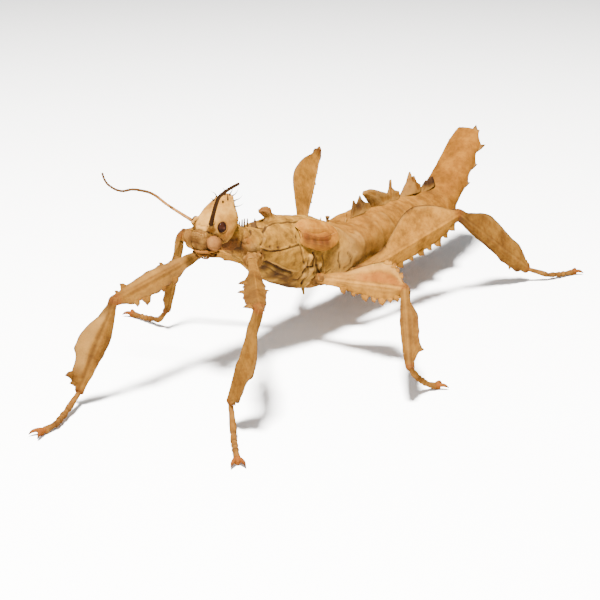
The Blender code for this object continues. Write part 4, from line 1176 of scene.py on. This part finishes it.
# The solid's plain spikes go, and thin hairs take their place.
SPIKE_TIPS = [Vector(tip) for tip in (
    (3.8, -31.5, 40.3), (4.7, -29.3, 40.3), (2.8, -33.3, 39.1), (6.7, -28.7, 38.4), (1.7, -28.9, 38.4),
    (6.6, -34.1, 37.5), (1.8, -34.1, 37.5))]
bpy.ops.object.mode_set(mode="EDIT")
cut_away(head, lambda v: min((v.co / MM - tip).length for tip in SPIKE_TIPS) < 0.5)
bpy.ops.object.mode_set(mode="OBJECT")
keep_points(head, 0.5, 0.7)
rounded(head, 4)
head_tree = BVHTree.FromObject(head, bpy.context.evaluated_depsgraph_get())


def mirrored(x, y, z, side=1):
    """Point given in mm on the left half, or its mirror image on the right half."""
    return Vector((MIDLINE + side * (x * MM - MIDLINE), y * MM, z * MM))


def on_head(x, y, z, side=1):
    """Place on the head nearest to such a point."""
    return head_tree.find_nearest(mirrored(x, y, z, side))[0]


# Round forms and shades of the head's left half: place, radius, height (mm), channel, share.
HEAD_FORMS = (
    # The cheek is widest behind the eye.
    ((7.1, -31.3, 34.8), 2.5, 0.62, "stain_and_shade", 0.0),
    # Ringed socket of the feeler, its hollow darkened and warmed as painted shade, and pale swellings below
    # it.
    ((6.5, -37.5, 34.9), 1.0, 0.22, "stain_and_shade", 0.0), ((6.5, -37.5, 34.9), 0.5, -0.35, "stain_and_shade", 0.95),
    ((6.6, -37.6, 33.8), 0.6, -0.15, "warm", 0.5), ((5.3, -38.4, 33.9), 0.5, 0.22, "pale_and_highlight", 0.4),
    ((7.4, -37.0, 33.4), 0.5, 0.18, "pale_and_highlight", 0.3),
    # Dark pits of the face, and painted shade beside and below it, down to the jaw.
    ((5.9, -38.2, 33.8), 0.16, -0.1, "tip", 0.7), ((7.0, -36.9, 32.9), 0.16, -0.1, "tip", 0.7),
    ((6.5, -37.4, 33.2), 0.16, -0.1, "tip", 0.7), ((6.0, -37.8, 33.0), 0.9, 0.0, "stain_and_shade", 0.35),
    ((6.6, -37.4, 31.8), 1.2, 0.0, "stain_and_shade", 0.35), ((7.6, -34.6, 31.0), 0.9, 0.0, "stain_and_shade", 0.6),
)
# The same round the eye's groove: a warm tint beside the eye, and a painted highlight on the forehead.
EYE_FORMS = (((8.2, -34.8, 32.8), 1.6, 0.12, "warm", 0.45), ((6.4, -36.2, 36.4), 1.7, 0.05, "pale_and_highlight", 0.22))
# Cheek crease over the jaw, seam behind the head and brow: places, depth, width (mm), painted shade in the
# groove.
HEAD_LINES = (
    (((7.9, -36.2, 31.6), (7.9, -35.6, 31.2), (7.7, -34.9, 30.9), (7.2, -34.0, 30.7)), 0.20, 0.22, 0.6),
    (((6.4, -30.6, 36.6), (7.4, -31.2, 34.9), (7.9, -31.3, 33.2), (7.5, -31.6, 31.6)), 0.25, 0.35, 0.75),
    (((5.9, -36.6, 36.9), (6.3, -35.0, 37.0), (6.2, -33.0, 37.4)), -0.08, 0.5, 0.0),
)
# Warm knobs at the feet of the crest's hairs.
CREST_KNOBS = ((4.9, -30.5, 38.6), (5.4, -29.9, 38.2), (5.7, -31.1, 37.9), (5.0, -31.6, 38.1))

swell(head, on_head(4.2, -29.6, 33.5), 1.8, 0.5)
for side in (1, -1):
    for place, radius, height, name, share in HEAD_FORMS:
        swell(head, on_head(*place, side), radius, height, name, share)
    # Groove round the eye, darkened as painted shade.
    turns = np.linspace(0, math.tau, 21)
    ring = [on_head(8.0 + 0.5 * math.cos(turn), -35.4 + 1.05 * math.cos(turn),
                    34.2 + 1.25 * math.sin(turn), side) for turn in turns]
    carve(head, ring, 0.10, 0.14, 0.55)
    for place, radius, height, name, share in EYE_FORMS:
        swell(head, on_head(*place, side), radius, height, name, share)
    for line, depth, width, stain_and_shade in HEAD_LINES:
        carve(head, [on_head(*place, side) for place in line], depth, width, stain_and_shade)
    for place in CREST_KNOBS:
        swell(head, on_head(*place, side), 0.30, 0.20, "warm", 0.4)

# Ridge across the face between the sockets, with painted shade in the hollow under it.
carve(head, [on_head(x, -38.6, 34.3 - 0.05 * abs(x - 4.2)) for x in (1.7, 2.8, 4.2, 5.6, 6.9)], -0.30, 0.34)
carve(head, [on_head(x, -38.6, 33.6) for x in (1.9, 3.0, 4.2, 5.4, 6.5)], 0.18, 0.24, 0.7)
rumple(head, 0.7, 0.09, lambda co: (co[:, 2] < 32.4) * 1.0, seed=21)
rumple(head, 2.6, 0.12, seed=22)
read_relief(head)
HEAD_TAN = ((0.068, 0.027, 0.0028), (0.108, 0.047, 0.0062), (0.142, 0.069, 0.012))
finish_piece(head, shell_finish("head_shell", HEAD_TAN, rough=0.42, speckle=0.12, bump=0.25), "head", "head")

# Hairs of the crest: foot, tip and radius in mm.
CREST_HAIRS = (
    ((5.6, -31.2, 38.0), (6.2, -32.6, 39.8), 0.17), ((4.4, -30.6, 38.7), (4.3, -31.2, 40.3), 0.17),
    ((5.0, -30.3, 38.5), (5.6, -29.7, 40.3), 0.17), ((5.3, -29.9, 38.2), (6.0, -28.6, 39.7), 0.17),
    ((6.0, -30.0, 37.6), (7.0, -28.6, 38.6), 0.15), ((6.3, -30.6, 36.6), (7.7, -29.2, 37.3), 0.15),
    ((3.0, -31.0, 38.0), (2.3, -32.2, 39.4), 0.17), ((2.6, -30.0, 37.6), (1.6, -28.8, 38.5), 0.15),
    ((5.3, -32.4, 37.9), (5.6, -33.0, 38.3), 0.16), ((3.1, -32.4, 37.9), (2.8, -33.0, 38.3), 0.16),
)
hairs = joined("crest_hairs", [thorn("hair", Vector(foot) * MM, Vector(tip) * MM, radius)
                               for foot, tip, radius in CREST_HAIRS])
HAIR = ((0.010, 0.007, 0.004), (0.018, 0.012, 0.007), (0.03, 0.02, 0.012))
finish_piece(hairs, shell_finish("hair_horn", HAIR, painted_sheen=0.0), "head")

# ---- Eyes -----------------------------------------------------------------------------------
# Round compound eyes, dark red-brown with one painted highlight and fine facets, under a thin
# clear skin. Each ball sits in its socket, with a rim that flares a little.


def eye_finish():
    """Nearly black eye with a painted highlight, tiny facets in its bump and a faint clear coat."""
    made = bpy.data.materials.new("eye_gloss")
    made.use_nodes = True
    tree = made.node_tree
    shader = tree.nodes["Principled BSDF"]
    place = Tone(tree, tree.nodes.new("ShaderNodeTexCoord").outputs["Object"])
    blotch = place.grain(900, 2.0) + place.own("pale_and_highlight")
    colour = blotch.node("ShaderNodeValToRGB", {"Fac": blotch},
                         stops=((0.35, (0.005, 0.002, 0.0012)), (0.7, (0.012, 0.0036, 0.0018)),
                                (1.0, (0.034, 0.012, 0.006))))
    tree.links.new(colour.socket, shader.inputs["Base Color"])
    facets = place.node("ShaderNodeTexVoronoi", {"Vector": place, "Scale": 9000.0}, feature="F1")
    normal = facets.node("ShaderNodeBump", {"Strength": 0.25, "Distance": 0.00005, "Height": facets})
    tree.links.new(normal.socket, shader.inputs["Normal"])
    shader.inputs["Roughness"].default_value = 0.35
    shader.inputs["Specular IOR Level"].default_value = 0.0
    shader.inputs["Coat Weight"].default_value = 0.03
    shader.inputs["Coat Roughness"].default_value = 0.2
    return made


gloss = eye_finish()
EYE_PLACE = (7.42, -35.4, 34.15)
EYE_SIZE = (0.70, 0.95, 0.96)
# Place and size of the painted highlight on the ball.
EYE_GLINT, GLINT_SIZE = (0.62, -0.10, -0.10), 0.32
for side, name in ((1, "left"), (-1, "right")):
    ball = ball_piece(f"eye_{name}_ball", 40, 28, 1)
    co = points_of(ball) * np.array(EYE_SIZE)
    rim = np.exp(-((co[:, 0] * side - 0.1) / 0.25) ** 2)
    co[:, 1:] *= (1 + 0.08 * rim)[:, None]
    glint = np.linalg.norm(co - np.array(EYE_GLINT) * (side, 1, 1), axis=1) / GLINT_SIZE
    set_channel(ball, "pale_and_highlight", 0.75 * np.exp(-glint ** 2))
    move_to(ball, co * MM + np.array(mirrored(*EYE_PLACE, side)))
    finish_piece(ball, gloss, "eye", f"eye_{name}")

# ---- Mouth ----------------------------------------------------------------------------------
# Two round chewing jaws of smooth pinkish horn, an upper lip between them, and below them the
# thick pale rims of the lower lip with its short feelers, parted by a dark gap.

JAW = ((0.046, 0.015, 0.0025), (0.066, 0.024, 0.0045), (0.088, 0.035, 0.0075))
# Darker tones low on the jaw, as painted shade.
JAW_SHADE = ((0.02, 0.004, 0.0015), (0.035, 0.008, 0.002), (0.06, 0.016, 0.004))
jaw_finish = shell_finish("jaw_horn", JAW, zones=((2, 30.5, 29.6, JAW_SHADE),), rough=0.35, speckle=0.2,
                          bump=0.3, painted_sheen=0.02)
# A darker copy of the jaw horn for the far jaw, as painted shade.
SHADED_JAW = ((0.03, 0.011, 0.0015), (0.055, 0.022, 0.003), (0.08, 0.035, 0.006))
shaded_jaw = shell_finish("shaded_jaw_horn", SHADED_JAW, speckle=0.3)
# Groove on the inner side of a jaw, darkened as painted shade: mm outwards and upwards of its middle.
JAW_LINE = ((-0.9, 1.2), (-1.0, 0.3), (-0.7, -0.8))
for side, name in ((1, "mandible_left"), (-1, "mandible_right")):
    jaw = welded_copy(f"{name}_horn", name)
    rounded(jaw, 3)
    # Larger than its solid and drawn to a ball, with a groove and painted shade on its inner side,
    # and a painted highlight on its upper front.
    co = points_of(jaw)
    middle = co.mean(0)
    co = middle + (co - middle) * 1.25 + np.array((0.85 * side, -0.70, 0.85)) * MM
    middle, half = (co.max(0) + co.min(0)) / 2, (co.max(0) - co.min(0)) / 2
    ball = (co - middle) / half
    ball *= 0.94 / np.linalg.norm(ball, axis=1)[:, None]
    move_to(jaw, 0.1 * co + 0.9 * (middle + ball * half))
    line = [middle + np.array((side * x, -1.3, z)) * MM for x, z in JAW_LINE]
    carve(jaw, line, 0.15, 0.2, 0.7)
    rumple(jaw, 0.9, 0.06, seed=51)
    ball = (points_of(jaw) - middle) / half
    deepen(jaw, "stain_and_shade", 0.95 * np.clip((-side * ball[:, 0] - 0.35) * 2.2, 0, 1))
    painted_highlight = np.linalg.norm(ball - (0.2 * side, -0.8, 0.4), axis=1) / 0.5
    set_channel(jaw, "pale_and_highlight", 0.12 * np.exp(-painted_highlight ** 2))
    finish_piece(jaw, jaw_finish if side > 0 else shaded_jaw, "mouth", name)

# Face shield and upper lip: one curved brown plate over the middle of the mouth, from the
# ridge of the face down to the jaws' edge, with rows of pale bumps along its top.
SHIELD = ((0.030, 0.0115, 0.0016), (0.050, 0.0205, 0.003), (0.072, 0.031, 0.005))
shield_finish = shell_finish("shield_horn", SHIELD, speckle=0.2, bump=0.3)
SHIELD_PLACE, SHIELD_SIZE = (4.0, -37.35, 31.5), (2.15, 1.45, 2.15)
# Rows of bumps: height over the floor (mm) and number.
SHIELD_ROWS = ((33.05, 9), (32.7, 10), (32.3, 9))
shield = ball_piece("labrum_shield", 96, 64, MM)
co = points_of(shield) / MM
# Squarer than a ball, narrower and split a little at the lower edge.
co = np.sign(co) * np.abs(co) ** 0.85
co[:, 0] *= 1 - 0.16 * np.clip(-co[:, 2], 0, 1)
co[:, 2] += 0.14 * np.exp(-(co[:, 0] / 0.2) ** 2) * (co[:, 2] < -0.7)
move_to(shield, (co * np.array(SHIELD_SIZE) + np.array(SHIELD_PLACE)) * MM)
shield_tree = BVHTree.FromObject(shield, bpy.context.evaluated_depsgraph_get())


def on_shield(x, z):
    """Place on the front of the shield."""
    return shield_tree.ray_cast(Vector((x, -45, z)) * MM, Vector((0, 1, 0)))[0]


# A seam across the shield, darkened a little as painted shade.
seam = [on_shield(x, 31.3 - 0.05 * (x - 4.0) ** 2) for x in (2.3, 3.1, 4.0, 4.9, 5.7)]
carve(shield, seam, 0.08, 0.18, 0.3)
for row, (z, count) in enumerate(SHIELD_ROWS):
    for k in range(count):
        x = SHIELD_PLACE[0] + (k - (count - 1) / 2) * 0.38
        swell(shield, on_shield(x, z + 0.1 * math.sin(5.1 * k + row)), 0.12, 0.09, "pale_and_highlight", 0.42 - 0.12 * row)
for x, z in ((3.0, 30.6), (4.6, 30.4), (5.2, 31.6)):
    swell(shield, on_shield(x, z), 0.5, 0.1, "pale_and_highlight", 0.15)
rumple(shield, 0.9, 0.10, seed=52)
rumple(shield, 0.28, 0.035, seed=57)
read_relief(shield, share=0.3)
finish_piece(shield, shield_finish, "mouth", "labrum")

# Lower lip, its two thick rims and its four short feelers.
lip_finish = shell_finish("lip_horn", ((0.045, 0.0145, 0.0015), (0.078, 0.028, 0.003), (0.110, 0.045, 0.006)),
                          rough=0.4, speckle=0.15, bump=0.3)
labium = welded_copy("labium_horn", "labium")
rounded(labium, 3)
rumple(labium, 0.8, 0.10, seed=53)
read_relief(labium)
finish_piece(labium, lip_finish, "mouth", "labium")

# Rims in mm: height, reach forwards, half breadth, radius. Palps: foot and length.
LIP_RIMS = ((29.5, 2.75, 3.0, 0.36), (28.7, 2.3, 2.4, 0.28))
PALPS = (((6.4, -36.3, 28.9), 1.0), ((5.3, -37.0, 28.5), 0.8))
PALP_BENDS = ((0, 0, 0), (0.35, -0.3, -0.1), (0.3, -0.8, -0.2), (-0.2, -1.2, -0.2), (-0.8, -1.4, -0.25))
lips = []
for z, reach, spread, radius in LIP_RIMS:
    arc = [Vector((MIDLINE / MM + spread * math.sin(turn), -35.6 - reach * math.cos(turn),
                   z + 0.5 * math.sin(turn) ** 2)) * MM
           for turn in (math.radians(degrees) for degrees in range(-95, 96, 19))]
    lips.append(stalk("lip", arc, [radius * (1 - 0.35 * abs(k - 5) / 5) for k in range(len(arc))], steps=5))
for side in (1, -1):
    for start, long in PALPS:
        points = [mirrored(*start, side) + Vector((side * dx, dy, dz)) * long * MM
                  for dx, dy, dz in PALP_BENDS]
        palp = stalk("palp", points, (0.24, 0.20, 0.24, 0.19, 0.14), steps=5)
        fill(palp, "stain_and_shade", 0.6)
        lips.append(palp)
lips = joined("lips_and_palps", lips)
rumple(lips, 0.5, 0.08, seed=54)
read_relief(lips, share=0.4)
finish_piece(lips, lip_finish, "mouth")

# ---- Feelers --------------------------------------------------------------------------------
# Bendy threads of many short rings, let into the sockets of the head. The left one is dark
# brown, and the thinner right one is paler towards its foot.

FEELER_WAYS = {
    "left": ((6.4, -37.4, 34.9), (7.8, -38.2, 37.5), (9.4, -39.3, 39.8), (10.8, -40.2, 41.5),
             (12.4, -41.0, 42.7), (15.6, -42.8, 44.6), (19.2, -44.9, 46.5)),
    "right": ((1.9, -37.5, 35.0), (-1.9, -39.7, 37.8), (-4.6, -40.9, 39.8), (-6.8, -41.5, 40.2),
              (-8.7, -42.0, 40.2), (-10.6, -42.9, 39.8), (-12.5, -43.9, 40.7), (-13.5, -44.1, 41.7),
              (-14.2, -44.0, 43.0)),
}
FEELER_STOUT = {"left": 1.0, "right": 0.75}
FEELER_RINGS = 34
FEELER = ((0.06, 0.024, 0.005), (0.09, 0.038, 0.009), (0.12, 0.056, 0.016))
feeler_finish = shell_finish("feeler_horn", FEELER, rough=0.45, speckle=0.3, painted_sheen=0.0)
for name, way in FEELER_WAYS.items():
    taper = [0.46] + [0.40 - 0.12 * k / (len(way) - 1) for k in range(1, len(way))]
    feeler = stalk(f"antenna_{name}_thread", [Vector(place) * MM for place in way],
                   [radius * FEELER_STOUT[name] for radius in taper], steps=24)
    along = channel(feeler, "along")
    seams = np.abs((along * FEELER_RINGS) % 1 - 0.5) * 2 > 0.75
    move_to(feeler, points_of(feeler) - normals_of(feeler) * (seams * 0.035 * MM)[:, None])
    dark = np.ones(len(along))
    if name == "right":
        dark = np.maximum(np.clip((along - 0.33) * 6, 0, 0.85), 0.8 * np.exp(-((along - 0.22) / 0.02) ** 2))
    set_channel(feeler, "tip", dark * (0.94 + 0.06 * seams))
    finish_piece(feeler, feeler_finish, "feeler", f"antenna_{name}")
